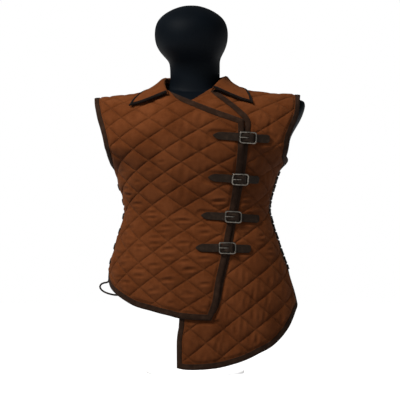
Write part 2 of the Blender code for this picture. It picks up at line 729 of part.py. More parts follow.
def back_outline():
    f = 1
    right = side_points(-1, f, UNDERARM[-1], BACK_HEM_SIDE + 16, SIDE_GAP)
    left = side_points(1, f, BACK_HEM_SIDE + 16, UNDERARM[1], SIDE_GAP)
    reach = [right[-1], (right[-1][0] + 9, BACK_HEM_SIDE + 1), (-130, BACK_HEM_SIDE - 10), (0, BACK_HEM_MIDDLE),
             (130, BACK_HEM_SIDE - 10), (left[0][0] - 9, BACK_HEM_SIDE + 1), left[0]]
    hem = even(spline(reach, 9), 22)
    neck = [neck_ridge(1, f)] + [back_neck_v(x, y) for x, y in BACK_NECK] + [
        back_neck_v(-x, y) for x, y in BACK_NECK[-2::-1]] + [neck_ridge(-1, f)]
    neck = even(spline(neck, 8), 16)
    return Outline([
        ("side_r", right), ("hem", hem), ("side_l", left), ("arm_l", arm_points(1, f, SIDE_GAP)[::-1]),
        ("shoulder_l", shoulder_points(f, ARM_TIP[1], NECK_X[1])), ("neck", neck),
        ("shoulder_r", shoulder_points(f, -NECK_X[-1], -ARM_TIP[-1])), ("arm_r", arm_points(-1, f, SIDE_GAP))])


def insets(outline, face, bound):
    """The binding's inner line and the quilted piece's own outline, both true to size on the body."""
    outline.settle({n: BIND_W + EDGE_GAP if n in bound else SEAM for n in outline.names}, 4.0)
    strip = outline.inset({n: BIND_W if n in bound else 0.0 for n in outline.names})
    piece = outline.inset({n: BIND_W + EDGE_GAP if n in bound else SEAM for n in outline.names})
    inner, polygon = [], []
    for i, (p, a, b) in enumerate(zip(outline.points, strip, piece)):
        p = Vector(p)
        d, e, k = a - p, b - p, 1.0
        if d.length > 1.0:
            at = place(face, *p)
            mixed = (outline.owner[i - 1] in bound) != (outline.owner[i] in bound)
            aim = BIND_W if mixed else d.length
            for _ in range(5):
                k *= aim / max(0.5, (place(face, *(p + d * k)) - at).length)
            k = min(2.2, max(0.8, k))
        inner.append(p + d * k)
        polygon.append(p + e * k)
    return inner, polygon


def distance(p, a, b):
    a, b, p = Vector(a), Vector(b), Vector(p)
    d = b - a
    t = min(1.0, max(0.0, (p - a).dot(d) / d.length_squared))
    return (a + d * t - p).length


def to_line(p, pts, closed=False):
    ends = list(zip(pts, pts[1:])) + ([(pts[-1], pts[0])] if closed else [])
    return min(distance(p, a, b) for a, b in ends)


# ---------------------------------------------------------------- straps
def strap_flat(row):
    left, middle, right = (flat(-1, row[k], row[k + 1]) for k in (0, 2, 4))
    return left, middle, right


STRAPS = [strap_flat(r) for r in STRAP_ROWS]
PLATE_H = (15.9, 12.9)  # the buckle's height over the body surface at its left and right bar
STRAP_IN_FRAME = [      # along, out from the buckle's plane
    (-22.5, -2.8), (-15.5, -2.7), (-9.5, -0.2), (-3.5, 2.6), (2.0, 4.6), (6.5, 4.8), (10.5, 4.5), (13.6, 1.0),
    (16.2, -2.8), (22.5, -2.8),
]
STRAP_HOLE = (2, 4)     # the hole runs between these stations of the list
TAB_IN_FRAME = [
    (22.5, -4.9), (14.0, -4.9), (8.6, -2.5), (4.8, -2.5), (3.8, -1.5), (3.8, 1.5), (4.8, 2.5), (8.8, 2.5),
    (9.8, 1.5), (9.8, -0.2),
]
PRONG_PATH = [
    (-20.9, 2.3), (-16.0, 2.5), (-6.0, 2.6), (4.8, 2.55), (9.0, 2.55), (9.95, 1.6), (9.95, -1.6), (9.0, -2.55), (5.2, -2.55),
]


class Plate:
    """A buckle's own flat frame: along, across and out."""

    def __init__(self, strap):
        left, middle, right = (Vector(p) for p in strap)
        self.middle = middle
        self.along_flat = (right - left).normalized()
        a = self.over(-19.35, 0, PLATE_H[0])
        b = self.over(19.35, 0, PLATE_H[1])
        self.x = (b - a).normalized()
        up = self.over(0, 10, 12) - self.over(0, -10, 12)
        self.z = self.x.cross(up).normalized() * -1
        n = outward(-1, *middle)
        if self.z.dot(n) < 0:
            self.z = -self.z
        self.y = self.z.cross(self.x)
        self.centre = (a + b) / 2

    def over(self, s, t, h):
        """A point h out from the body surface, s along and t across in the flat."""
        d = self.along_flat
        p = self.middle + d * s + Vector((-d.y, d.x)) * t
        return out(-1, p.x, p.y, h)

    def at(self, s, t, w):
        return self.centre + self.x * s + self.y * t + self.z * w


def ribbon(name, mids, thick, colour, missing=()):
    """A strip through rows of points across, thick along each row's own normal."""
    top, bottom = [], []
    n = len(mids)
    for i, row in enumerate(mids):
        a, b = mids[max(0, i - 1)], mids[min(n - 1, i + 1)]
        along_ = (b[len(b) // 2] - a[len(a) // 2]).normalized()
        across = (row[-1] - row[0]).normalized()
        nrm = along_.cross(across).normalized()
        if 0 < i < n - 1:
            before = (row[1] - mids[i - 1][1]).normalized()
            after = (mids[i + 1][1] - row[1]).normalized()
            nrm = nrm / max(0.75, math.sqrt(max(0.0, (1 + before.dot(after)) / 2)))
        top.append([p + nrm * thick / 2 for p in row])
        bottom.append([p - nrm * thick / 2 for p in row])
    return slab(name, top, bottom, colour, missing)


def strap_piece(k, strap):
    plate = Plate(strap)
    left = -(Vector(strap[1]) - Vector(strap[0])).length
    right = (Vector(strap[2]) - Vector(strap[1])).length
    half = STRAP_W / 2
    rows, over_mid = [], WALL + LIFT + STRAP_CLEAR + STRAP_T / 2
    outside_left = [(left, over_mid, 0.12), (left + 6, over_mid, 0.62), (left + 13, over_mid, 1.0)]
    s = left + 13
    while s + 14 < -40:
        s += 14
        outside_left.append((s, over_mid, 1.0))
    outside_left += [(-39, over_mid + 0.3, 1.0), (-30, over_mid + 1.0, 1.0)]
    for s, h, w in outside_left:
        rows.append([plate.over(s, t * w, h) for t in (-half, -2.4, 2.4, half)])
    inside = len(rows)
    for s, w in STRAP_IN_FRAME:
        rows.append([plate.at(s, t, w) for t in (-half, -2.4, 2.4, half)])
    low = WALL + STRAP_CLEAR + TAB_T + 0.3 + STRAP_T / 2
    far = [(s, low, 1.0) for s in (44,) if right > 55]
    for s, h, w in [(32, low + 0.6, 1.0)] + far + [(right - 6, low, 1.0), (right - 1.5, low, 0.8), (right, low, 0.5)]:
        rows.append([plate.over(s, t * w, h) for t in (-half, -2.4, 2.4, half)])
    gaps = [(inside + STRAP_HOLE[0], 1), (inside + STRAP_HOLE[0] + 1, 1)]
    ribbon(f"strap_{k}", rows, STRAP_T, "leather", gaps)
    rows = []
    low = WALL + STRAP_CLEAR + TAB_T / 2
    far = [(s, low) for s in (44,) if right > 55]
    for s, h in [(right - 4, low)] + far + [(32, low + 0.4)]:
        rows.append([plate.over(s, t, h) for t in (-half, -2.6, 2.6, half)])
    inside = len(rows)
    for s, w in TAB_IN_FRAME:
        rows.append([plate.at(s, t, w) for t in (-half, -2.6, 2.6, half)])
    gaps = [(i, 1) for i in range(inside + 1, len(rows) - 1)]
    ribbon(f"tab_{k}", rows, TAB_T, "leather", gaps)
    rows = [[plate.at(s, t * w, o) for t in (-PRONG_W / 2, PRONG_W / 2)]
            for (s, o), w in zip(PRONG_PATH, [0.6] + [1.0] * (len(PRONG_PATH) - 1))]
    ribbon(f"prong_{k}", rows, PRONG_T, "pewter")
    l, w = BUCKLE_L / 2, BUCKLE_W / 2
    ss = [-l, -l + BAR, PIVOT_AT - PIVOT_W / 2, PIVOT_AT + PIVOT_W / 2, l - BAR, l]
    ts = [-w, -w + BAR, w - BAR, w]

    def corner(s, t, o):
        if abs(s) == l and abs(t) == w:
            s, t = s * 0.935, t * 0.9
        return plate.at(s, t, o)

    top = [[corner(s, t, BUCKLE_T / 2) for t in ts] for s in ss]
    bottom = [[corner(s, t, -BUCKLE_T / 2) for t in ts] for s in ss]
    slab(f"buckle_{k}", top, bottom, "pewter", [(1, 1), (3, 1)])


# ---------------------------------------------------------------- pieces
def press(p, lines, reach_, fade=15.0):
    """0 beside any of the lines, rising to 1 away from them."""
    d = min(to_line(p, ln) for ln in lines)
    return smooth((d - reach_) / fade)


def near_collar(face, u, v):
    p = place(face, u, v)
    return smooth((math.hypot(p.x, p.y) - 112) / 16) if p.z > 655 else 1.0


def build_garment():
    over, under, back = over_outline(), under_outline(), back_outline()
    bound_over = {"side", "hem", "closing", "neckline", "armhole"}
    bound_under = {"edge", "hem", "side", "armhole"}
    bound_back = {"side_r", "hem", "side_l", "arm_l", "arm_r"}
    over_in, over_poly = insets(over, -1, bound_over)
    under_in, under_poly = insets(under, -1, bound_under)
    back_in, back_poly = insets(back, 1, bound_back)
    strap_lines = [[a, b, c] for a, b, c in STRAPS]
    closing = [over.points[i] for i in over.span("closing")]
    neckline = [over.points[i] for i in over.span("neckline")]
    tape = seen(-1, TAPE_LINE, 22)

    def relief_over(u, v):
        return (smooth(to_line((u, v), over_poly, True) / 9.0) * press((u, v), strap_lines, STRAP_W / 2 + 8.5)
                * near_collar(-1, u, v))

    def relief_under(u, v):
        if closing[0][1] < v < closing[-1][1]:
            cover = u - curve_at([(q[1], q[0]) for q in closing], v)
        elif v >= closing[-1][1]:
            cover = (to_line((u, v), neckline) if (u > closing[-1][0] or v > curve_at([(q[0], q[1]) for q in neckline], u))
                     else -1.0)
        else:
            cover = closing[0][1] - v if u < closing[0][0] + 20 else 40.0
        return (smooth(to_line((u, v), under_poly, True) / 9.0) * smooth((cover - 6) / 14)
                * press((u, v), [tape], TAPE_W / 2 + 14) * press((u, v), strap_lines, STRAP_W / 2 + 8.5)
                * near_collar(-1, u, v))

    def relief_back(u, v):
        return smooth(to_line((u, v), back_poly, True) / 9.0) * near_collar(1, u, v)

    quilted("front_over", -1, over_poly, relief_over, lift)
    quilted("front_under", -1, under_poly, relief_under, lambda u: 0.0)
    quilted("back", 1, back_poly, relief_back, lambda u: 0.0)

    binding("bind_over", trimmed(strip_of(over, over_in, -1, "side", "neckline")), lift)
    binding("bind_under", trimmed(strip_of(under, under_in, -1, "edge", "side")))
    binding("bind_back", trimmed(strip_of(back, back_in, 1, "side_r", "side_l")))
    right = strip_of(over, over_in, -1, "armhole", "armhole")[::-1] + strip_of(back, back_in, 1, "arm_r", "arm_r")[1:]
    left = strip_of(under, under_in, -1, "armhole", "armhole") + strip_of(back, back_in, 1, "arm_l", "arm_l")[::-1][1:]
    binding("bind_arm_right", trimmed(right))
    binding("bind_arm_left", trimmed(left))

    top, bottom = [], []
    for i, p in enumerate(tape):
        a, b = Vector(tape[max(0, i - 1)]), Vector(tape[min(len(tape) - 1, i + 1)])
        n = Vector((-(b - a).y, (b - a).x)).normalized() * TAPE_W / 2
        low, high = WALL + TAPE_OFF, WALL + TAPE_OFF + TAPE_T
        ends = [Vector(p) + n, Vector(p), Vector(p) - n]
        top.append([out(-1, q.x, q.y, high) for q in ends])
        bottom.append([out(-1, q.x, q.y, low) for q in ends])
    slab("tape", top, bottom, "binding")
    for k, strap in enumerate(STRAPS, 1):
        strap_piece(k, strap)


def build_laces():
    """The side lacing, which zigzags from edge to edge, and the bow's loop that hangs from its lower end."""
    for name, side, high, low, n in LACE_ROWS:
        path = []
        for k in range(n + 1):
            z = high + (low - high) * k / n
            face = -1 if k % 2 else 1
            u = side * (side_u(side, face, z) - LACE_IN - (SIDE_GAP if face > 0 else 0))
            turn = [out(face, u, z + dz, LACE_OVER + LACE_R) for dz in (3.2, -3.2)]
            if path:
                away = outward(-1, side * side_u(side, -1, z), z)
                path.append((path[-1] + turn[0]) / 2 - away * LACE_DIP)
            path += turn
        tube(name, path, LACE_R, 6, "lace")
    start = [out(1, -(side_u(-1, 1, z) - SIDE_GAP - LACE_IN), z, LOOP_OVER + LOOP_R) for z in (240, 231)]
    tube("lace_loop", spline([tuple(p) for p in start] + LOOP_ROWS, 9), LOOP_R, 7, "lace")


def build_collar():
    rows = []
    for r in COLLAR_ROWS:
        s = r[0]
        rows.append((s * r[1], r[2], r[3], s * r[4], r[5], r[6], s * r[7], r[8], r[9]))
    fine = []
    for i in range(len(rows) - 1):
        a, b = rows[i], rows[i + 1]
        before, after = rows[max(0, i - 1)], rows[min(len(rows) - 1, i + 2)]
        if i == 0:
            before = tuple(2 * p - q for p, q in zip(a, b))
        if i == len(rows) - 2:
            after = tuple(2 * q - p for p, q in zip(a, b))
        for k in range(2 if i in COLLAR_FINE else 1):
            t = k / 2
            fine.append(tuple(
                0.5 * (2 * q + (r - p) * t + (2 * p - 5 * q + 4 * r - s) * t * t + (3 * q - p - 3 * r + s) * t ** 3)
                for p, q, r, s in zip(before, a, b, after)))
    fine.append(rows[-1])
    grid = []
    for f in fine:
        base, roll, edge = Vector(f[:3]), Vector(f[3:6]), Vector(f[6:])
        outwards = (edge - roll)
        flat_out = Vector((outwards.x, outwards.y, 0)).normalized()
        fall = outwards.normalized()
        grid.append([
            base, base.lerp(roll, 0.55), roll - flat_out * 0.6 - Vector((0, 0, 2.6)), roll + Vector((0, 0, 0.2)) + flat_out * 1.6,
            roll + flat_out * 5.0 + fall * 0.8 - Vector((0, 0, 0.8)), roll.lerp(edge, 0.42) - Vector((0, 0, 1.8)),
            roll.lerp(edge, 0.75) - Vector((0, 0, 2.6)), edge])
    n, m = len(grid), len(grid[0])

    def normals(g):
        res = []
        for i in range(len(g)):
            line = []
            for j in range(len(g[0])):
                a = g[min(len(g) - 1, i + 1)][j] - g[max(0, i - 1)][j]
                b = g[i][min(len(g[0]) - 1, j + 1)] - g[i][max(0, j - 1)]
                line.append(b.cross(a).normalized())
            res.append(line)
        return res

    nrm = normals(grid)
    start = 3  # the leaf's bound front edge begins at the roll

    def inward(i, other, j, by):
        d = grid[other][j] - grid[i][j]
        return grid[i][j] + d.normalized() * by

    def drawn(i, by):
        """The leaf's outer edge moved in."""
        return grid[i][m - 1] - (grid[i][m - 1] - grid[i][m - 2]).normalized() * by

    by = COLLAR_BIND + 0.5
    inner = [list(row) for row in grid]
    for i in range(n):
        inner[i][m - 1] = drawn(i, by)
    for i, o in ((0, 1), (n - 1, n - 2)):
        for j in range(m):
            d = inner[o][j] - inner[i][j]
            inner[i][j] = inner[i][j] + d.normalized() * (by if j >= start else 0.3)
    in_n = normals(inner)
    t = COLLAR_T / 2
    top = [[p + q * t for p, q in zip(r, s)] for r, s in zip(inner, in_n)]
    bottom = [[p - q * t for p, q in zip(r, s)] for r, s in zip(inner, in_n)]
    slab("collar", top, bottom, "quilted_cloth")

    profile = [(0.0, -2.1), (0.0, 2.1), (0.8, 2.0), (1.0, 0.0), (0.8, -2.0)]
    stations = []
    for j in range(start, m - 1):
        stations.append((grid[0][j], inward(0, 1, j, COLLAR_BIND), nrm[0][j]))
    tip_in = drawn(0, COLLAR_BIND)
    tip_in = tip_in + (drawn(1, COLLAR_BIND) - tip_in).normalized() * COLLAR_BIND
    stations.append((grid[0][m - 1], tip_in, nrm[0][m - 1]))
    for i in range(1, n - 1):
        stations.append((grid[i][m - 1], drawn(i, COLLAR_BIND), nrm[i][m - 1]))
    tip_in = drawn(n - 1, COLLAR_BIND)
    tip_in = tip_in + (drawn(n - 2, COLLAR_BIND) - tip_in).normalized() * COLLAR_BIND
    stations.append((grid[n - 1][m - 1], tip_in, nrm[n - 1][m - 1]))
    for j in range(m - 2, start - 1, -1):
        stations.append((grid[n - 1][j], inward(n - 1, n - 2, j, COLLAR_BIND), nrm[n - 1][j]))
    rings = [[i_.lerp(o_, q) + d * h for q, h in profile] for o_, i_, d in stations]
    rod("bind_collar", rings, "binding")


def oval(half_l, half_r, front, back, z, x0=0.0, n=SECTION_N, height=None):
    """A level ring round the form: half-widths to the wearer's right and left, reach to front and back."""
    ring = []
    for k in range(FORM_COLUMNS):
        f = 2 * math.pi * k / FORM_COLUMNS
        c, s = math.cos(f), math.sin(f)
        x = math.copysign(abs(s) ** (2 / n), s) * (half_r if s > 0 else half_l)
        y = math.copysign(abs(c) ** (2 / n), c)
        y = -y * front if y > 0 else -y * back
        ring.append(Vector((x + x0, y, z if height is None else height(x, y, abs(c)))))
    return ring


def inside_depth(x, z, face):
    """How far front or back the garment's inner surface is at x, z."""
    side = -1 if x < 0 else 1
    rows = section(side, face, z)
    y = along(rows, abs(x), 1, (2,))[0]
    turn = ridge(x) - CAP
    if z > turn and z > Z_TOP:
        y *= math.cos(math.asin(min(1.0, (z - turn) / CAP)))
    return y


def top_height(x, y):
    side, face = (-1 if x < 0 else 1), (-1 if y < 0 else 1)
    full = along(section(side, face, Z_TOP), abs(x), 1, (2,))[0]
    share = min(1.0, (abs(y) + FORM_IN) / max(1.0, full))
    return ridge(x) - CAP + CAP * math.sqrt(max(0.0, 1 - share * share)) - FORM_IN


def build_form():
    rings = [[Vector(CROWN)]]
    for z, half, front, back, x in HEAD_ROWS:
        mid, depth = (back - front) / 2, (front + back) / 2
        ring = oval(half, half, depth, depth, z, x, 2.1)
        rings.append([p + Vector((0, mid, 0)) for p in ring])
    for right, left, half_y in TOP_ROWS:
        rings.append(oval(right, left, half_y, half_y, 0, 0, 2.2, lambda x, y, c: top_height(x, y)))
    for z_side, z_front, right, left in CAP_ROWS:
        ring = oval(right, left, 200, 200, 0, 0, 2.3, lambda x, y, c: z_side + (z_front - z_side) * c)
        d = [curve_at(DEPTH_ROWS, z_front, c) - FORM_IN for c in (1, 2)]
        own = oval(right, left, d[0], d[1], 0, 0, 2.3)
        for p, q in zip(ring, own):
            face = -1 if q.y < 0 else 1
            p.y = face * min(abs(q.y), max(0.0, inside_depth(p.x, p.z, face) - FORM_IN))
        rings.append(ring)
    for z in LOW_LEVELS:
        right, left = (curve_at(SIDE_ROWS, z, c) - FORM_IN for c in (1, 2))
        front, back = (curve_at(DEPTH_ROWS, z, c) - FORM_IN for c in (1, 2))
        rings.append(oval(right, left, front, back, z))
    rod("form_body", rings, "form_cover")

    def disc(r, z, n=24):
        return [Vector((r * math.cos(2 * math.pi * k / n), r * math.sin(2 * math.pi * k / n), z)) for k in range(n)]

    rod("form_post", [disc(POST_R, POST_HIGH), disc(POST_R, POST_LOW)], "pale_paint")
    rod("form_base", [disc(BASE_R - 2, BASE_T, 48), disc(BASE_R, BASE_T - 2, 48), disc(BASE_R, 0, 48)], "pale_paint")


def main():
    for obj in list(bpy.data.objects):
        bpy.data.objects.remove(obj, do_unlink=True)
    build_garment()
    build_laces()
    build_collar()
    build_form()


main()
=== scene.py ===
"""Looks of a quilted sleeveless gambeson on a limbless dress form.

The garment is cut from flat pieces. Flat points are (u, v) in millimetres: u runs round the body from the
middle line, v runs up it. BodySurface lays them on the body, and every layer of cloth, binding, leather and
cord is the same surface moved out by that layer's own height.
"""
import bisect
import logging
import math
from dataclasses import dataclass, field
from enum import Enum, IntEnum
from itertools import groupby
from typing import Callable, NamedTuple, Sequence

import bmesh
import bpy
import numpy as np
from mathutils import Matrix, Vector, geometry


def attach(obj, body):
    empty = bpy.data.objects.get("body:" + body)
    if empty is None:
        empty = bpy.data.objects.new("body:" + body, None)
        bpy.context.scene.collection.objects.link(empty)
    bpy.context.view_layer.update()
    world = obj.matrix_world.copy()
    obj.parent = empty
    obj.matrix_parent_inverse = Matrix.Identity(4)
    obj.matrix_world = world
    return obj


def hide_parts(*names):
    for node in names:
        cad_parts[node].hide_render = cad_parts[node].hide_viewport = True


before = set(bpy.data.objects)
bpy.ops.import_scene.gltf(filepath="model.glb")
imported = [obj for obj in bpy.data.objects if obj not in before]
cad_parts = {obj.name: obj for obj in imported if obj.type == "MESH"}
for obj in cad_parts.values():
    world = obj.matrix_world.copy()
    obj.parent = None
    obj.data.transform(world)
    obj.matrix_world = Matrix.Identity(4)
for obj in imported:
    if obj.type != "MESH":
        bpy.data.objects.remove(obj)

MM = 0.001
Point = tuple[float, float]
Colour = tuple[float, float, float]
Corners = tuple[np.ndarray, list[tuple[int, ...]]]  # corner places and faces
Socket = bpy.types.NodeSocket
TOP = 900.0  # any height over the shoulders
log = logging.getLogger("gambeson")


class Face(IntEnum):
    """The front and the back half of the body."""

    FRONT = -1
    BACK = 1


class Side(IntEnum):
    """The wearer's right and left."""

    RIGHT = -1
    LEFT = 1


# ---------------------------------------------------------------- sizes shared with the solids
WALL, PUFF, LIFT = 3.0, 3.8, 5.8
BIND_W, SEAM, EDGE_GAP = 14.0, 0.2, 0.4
SECTION_N, Z_TOP, CAP, RIDGE_TILT = 2.4, 548.0, 110.0, 0.015
SIDE_GAP = 14.0

SIDE_ROWS = [  # z, right half-width, left half-width
    (0, 207, 262), (60, 207, 256), (120, 207, 250), (163, 207, 245), (194, 207, 238), (220, 206, 230),
    (233, 205.5, 226), (248, 204, 222), (271, 199, 214), (292, 193, 206), (317, 186, 198), (347, 176, 188),
    (374, 169, 180.5), (389, 167, 177), (403, 167, 177), (418, 170, 179.5), (433, 173, 183), (452, 180, 188.5),
    (470, 184, 194), (487, 189, 200), (494, 193, 205), (508, 206, 219), (520, 222, 234), (535, 245, 254),
    (548, 262, 272), (720, 262, 272),
]
DEPTH_ROWS = [  # z, front, back
    (0, 131, 120), (163, 128, 119), (230, 125, 117), (300, 117, 111), (360, 107, 103), (400, 104, 100),
    (450, 110, 105), (500, 118, 110), (548, 122, 112), (720, 122, 112),
]
RIDGE_ROWS = [  # x, z of the shoulder ridge
    (0, 700.5), (60, 697.5), (76, 692.5), (90, 686.5), (106, 679.5), (132, 675), (156, 671.5), (200, 667),
    (245, 664), (280, 661.5),
]
WRAP_ROWS = [(0, 0.93), (400, 0.93), (560, 1.0), (900, 1.0)]  # z, share of the cloth's flat width
OVER_HEM = [
    (-199.5, 210), (-189, 197), (-173.5, 185.3), (-159, 176.4), (-140, 166), (-121.5, 159.4), (-98, 153.6),
    (-73.5, 146.9), (-49, 141.6), (-25, 135.6), (8.6, 132), (49.6, 130.6),
]
CLOSING = [
    (49.6, 130.6), (59.7, 153.6), (66.9, 177.6), (74, 225.6), (84.4, 273.6), (95.5, 345.6), (106.1, 417.6),
    (116.6, 477.6), (125.1, 537.6), (126.6, 573.6), (125, 607),
]
OVER_NECKLINE = [(125, 607), (34.5, 639), (-53, 671)]
OVER_NECK = [(-53, 671), (-66, 681.5), (-75, 688)]
UNDER_EDGE = [(-22, 645), (-22, 500), (-22, 300), (-26, 134), (-29, 105.6), (-32, 81.6), (-32, 16.8)]
UNDER_HEM = [
    (-32, 16.8), (-15, 13.2), (8, 12.5), (27, 13), (47, 14.9), (71.5, 18.2), (95, 24), (118.6, 31.2), (142, 40.8),
    (165, 52.8), (188, 65.3), (210.5, 85.4), (230, 112.8), (239.5, 136.8), (243.5, 152),
]
UNDER_NECKLINE = [(45, 683), (24, 669), (1.5, 655), (-22, 645)]
UNDER_NECK = [(72, 690), (60, 689.5), (45, 683)]
BACK_HEM_SIDE, BACK_HEM_MIDDLE = 224.0, 203.0
STRAP_HALF, TAPE_HALF, COLLAR_REACH, COLLAR_LOW, CALM_EASE = 10.5, 8.0, 112.0, 655.0, 8.0  # where padding is flat
ARM_ROWS = {  # z, x of the armhole, from the shoulder ridge down, by side and face
    (-1, -1): [(648, 240), (631, 235), (612, 229.5), (593, 222.5), (576, 217), (559, 212.5), (537.6, 207), (515, 202),
               (502, 198.5)],
    (1, -1): [(645, 254.5), (617, 252), (605, 248), (590, 242), (575, 236), (555, 231), (535, 227.5), (522, 224)],
    (-1, 1): [(648, 238), (631, 231), (612, 224), (593, 217), (576, 211), (559, 206), (537.6, 201), (517, 197)],
    (1, 1): [(648, 248), (636, 243), (618, 236), (600, 229), (575, 221), (550, 216), (530, 213)],
}
ARM_TIP = {-1: 244.6, 1: 255.0}
UNDERARM = {-1: 490.0, 1: 508.0}
NECK_X = {-1: 80.0, 1: 78.0}
BACK_NECK = [(60, 36), (46, 58), (24, 69), (0, 72)]
TAPE_LINE = [
    (49.5, 677.2), (66, 664), (106, 634), (130, 612.5), (136, 600), (134, 585), (130.5, 565), (128.5, 537.6),
    (120, 477.6), (108.5, 417.6), (96.5, 345.6), (84.5, 273.6), (73.5, 225.6), (65, 177.6), (54, 152),
]
TAPE_SECTION = [  # across, over the body
    (7.0, 4.3), (6.6, 4.75), (3.0, 4.85), (-3.0, 4.85), (-6.6, 4.75), (-7.0, 4.3), (-6.6, 3.9), (-3.0, 3.85),
    (3.0, 3.85), (6.6, 3.9),
]
TAPE_STITCH_AT = (-5.2, 4.95)
STRAP_ROWS = [  # x and z of the sewn left tip, the buckle's middle and the free right end
    (54.0, 570.5, 135.5, 566.0, 186.0, 561.0),
    (41.5, 473.5, 114.0, 469.5, 157.0, 467.0),
    (24.5, 379.0, 97.5, 375.5, 156.0, 370.0),
    (12.5, 302.0, 86.0, 301.0, 140.0, 299.5),
]
LACE_ROWS = [("lace_right", -1, 468, 250, 12), ("lace_left", 1, 486, 252, 12)]  # name, side, high, low, crossings
LACE_R, LACE_IN, LACE_OVER, LACE_HALF = 1.7, 7.0, 4.1, 3.2
LACE_RIM, LACE_SUNK = 5.5, 0.3
LOOP_R, LOOP_OVER = 2.2, 4.1
LOOP_ROWS = [
    (-212.0, 10.5, 219.5), (-221.0, 9.5, 217.0), (-228.5, 9.0, 214.0), (-232.0, 8.0, 207.6),
    (-228.5, 6.0, 200.4), (-219.0, 3.0, 194.2), (-205.0, -3.0, 189.8), (-190.0, -10.0, 187.8), (-172.0, -18.0, 189.0),
    (-158.0, -24.0, 193.0),
]
COLLAR_ROWS = [  # side, then x, y, z of the base, the roll and the outer edge
    (-1, 55, -97, 669, 57, -100, 674, 152, -85, 644),
    (-1, 64, -74, 684.5, 67, -76, 693, 141, -64, 662),
    (-1, 70, -40, 695, 71, -40, 706, 126, -34, 677),
    (-1, 71, 0, 699, 71, 0, 711, 110, 0, 683.5),
    (-1, 63, 36, 698, 65, 39, 712, 101, 44, 681),
    (-1, 46, 60, 690, 49, 64, 712, 75, 76, 672),
    (-1, 24, 71, 683, 25, 75, 711, 40, 91, 663),
    (1, 0, 74, 681, 0, 78, 711, 0, 96, 660),
    (1, 24, 71, 683, 25, 75, 711, 40, 91, 663),
    (1, 46, 60, 690, 49, 64, 713, 75, 76, 672),
    (1, 63, 36, 699, 66, 39, 715, 101, 44, 682),
    (1, 70, 0, 700, 72, 0, 715, 112, 0, 686),
    (1, 67, -35, 700.5, 70, -35, 711, 128, -32, 682),
    (1, 58, -60, 693, 62, -61, 702, 139, -60, 668),
    (1, 48, -86, 680, 50, -89, 685.5, 147, -84, 650),
]


# ---------------------------------------------------------------- numbers
def smooth(t: np.ndarray | float) -> np.ndarray | float:
    """A soft step from 0 to 1.

    Args:
        t: Values; below 0 gives 0 and above 1 gives 1.

    Returns:
        The eased values.
    """
    t = np.clip(t, 0.0, 1.0)
    return t * t * (3 - 2 * t)


def curve_at(rows: Sequence[Sequence[float]], x: float, column: int = 1) -> float:
    """Reads a smooth curve through a table's column.

    Args:
        rows: The table, sorted by its first column either way.
        x: Where to read it.
        column: The column that is read.

    Returns:
        The column's value at x, held beyond the ends.
    """
    xs = [r[0] for r in rows]
    if xs[0] > xs[-1]:
        rows, xs = rows[::-1], xs[::-1]
    if x <= xs[0]:
        return rows[0][column]
    if x >= xs[-1]:
        return rows[-1][column]
    i = bisect.bisect_right(xs, x) - 1
    h, step = xs[i + 1] - xs[i], (rows[i + 1][column] - rows[i][column]) / (xs[i + 1] - xs[i])

    def slope(k: int) -> float:
        """The curve's slope at row k."""
        if k <= 0 or k >= len(rows) - 1:
            return step
        a = (rows[k][column] - rows[k - 1][column]) / (xs[k] - xs[k - 1])
        b = (rows[k + 1][column] - rows[k][column]) / (xs[k + 1] - xs[k])
        return 0.0 if a * b <= 0 else 2 * a * b / (a + b)

    t = (x - xs[i]) / h
    return (rows[i][column] * (1 + 2 * t) * (1 - t) ** 2 + rows[i + 1][column] * t * t * (3 - 2 * t)
            + slope(i) * h * t * (1 - t) ** 2 - slope(i + 1) * h * t * t * (1 - t))


def bend(p: np.ndarray, q: np.ndarray, r: np.ndarray, s: np.ndarray, t: float) -> np.ndarray:
    """A point on the smooth way from q at t = 0 to r at t = 1, with p before them and s after."""
    return 0.5 * (2 * q + (r - p) * t + (2 * p - 5 * q + 4 * r - s) * t * t + (3 * q - p - 3 * r + s) * t ** 3)


def around(rows: np.ndarray, i: int) -> tuple[np.ndarray, ...]:
    """Rows i - 1 to i + 2, with straight runs past both ends."""
    a, b = rows[i], rows[i + 1]
    return rows[i - 1] if i else 2 * a - b, a, b, rows[i + 2] if i + 2 < len(rows) else 2 * b - a


def spline(points: Sequence[Sequence[float]], step: float) -> list[tuple[float, ...]]:
    """Points on a smooth line through the given ones.

    Args:
        points: Points of any dimension.
        step: The distance between the new points, roughly.

    Returns:
        The new points, with the given ones among them.
    """
    pts = np.array(points, float)
    made = [tuple(pts[0])]
    for i in range(len(pts) - 1):
        n = max(1, round(math.dist(pts[i], pts[i + 1]) / step))
        made += [tuple(bend(*around(pts, i), k / n)) for k in range(1, n + 1)]
    return made


def unit(d: np.ndarray) -> np.ndarray:
    """A direction, or rows of them, made one long."""
    return d / np.maximum(1e-9, np.linalg.norm(d, axis=-1, keepdims=True))


def lengths(line: np.ndarray) -> np.ndarray:
    """How far along a line each of its points lies."""
    return np.concatenate([[0.0], np.cumsum(np.linalg.norm(np.diff(line, axis=0), axis=1))])


def even(points: Sequence[Sequence[float]], step: float) -> list[tuple[float, ...]]:
    """The line again, with points at one even spacing.

    Args:
        points: Points of any dimension.
        step: The spacing, roughly.

    Returns:
        The evenly spaced points, with both ends kept.
    """
    pts = np.array(points, float)
    along = lengths(pts)
    n = max(1, round(along[-1] / step))
    at = np.linspace(0.0, along[-1], n + 1)
    return [tuple(p) for p in np.stack([np.interp(at, along, pts[:, k]) for k in range(pts.shape[1])], axis=1)]


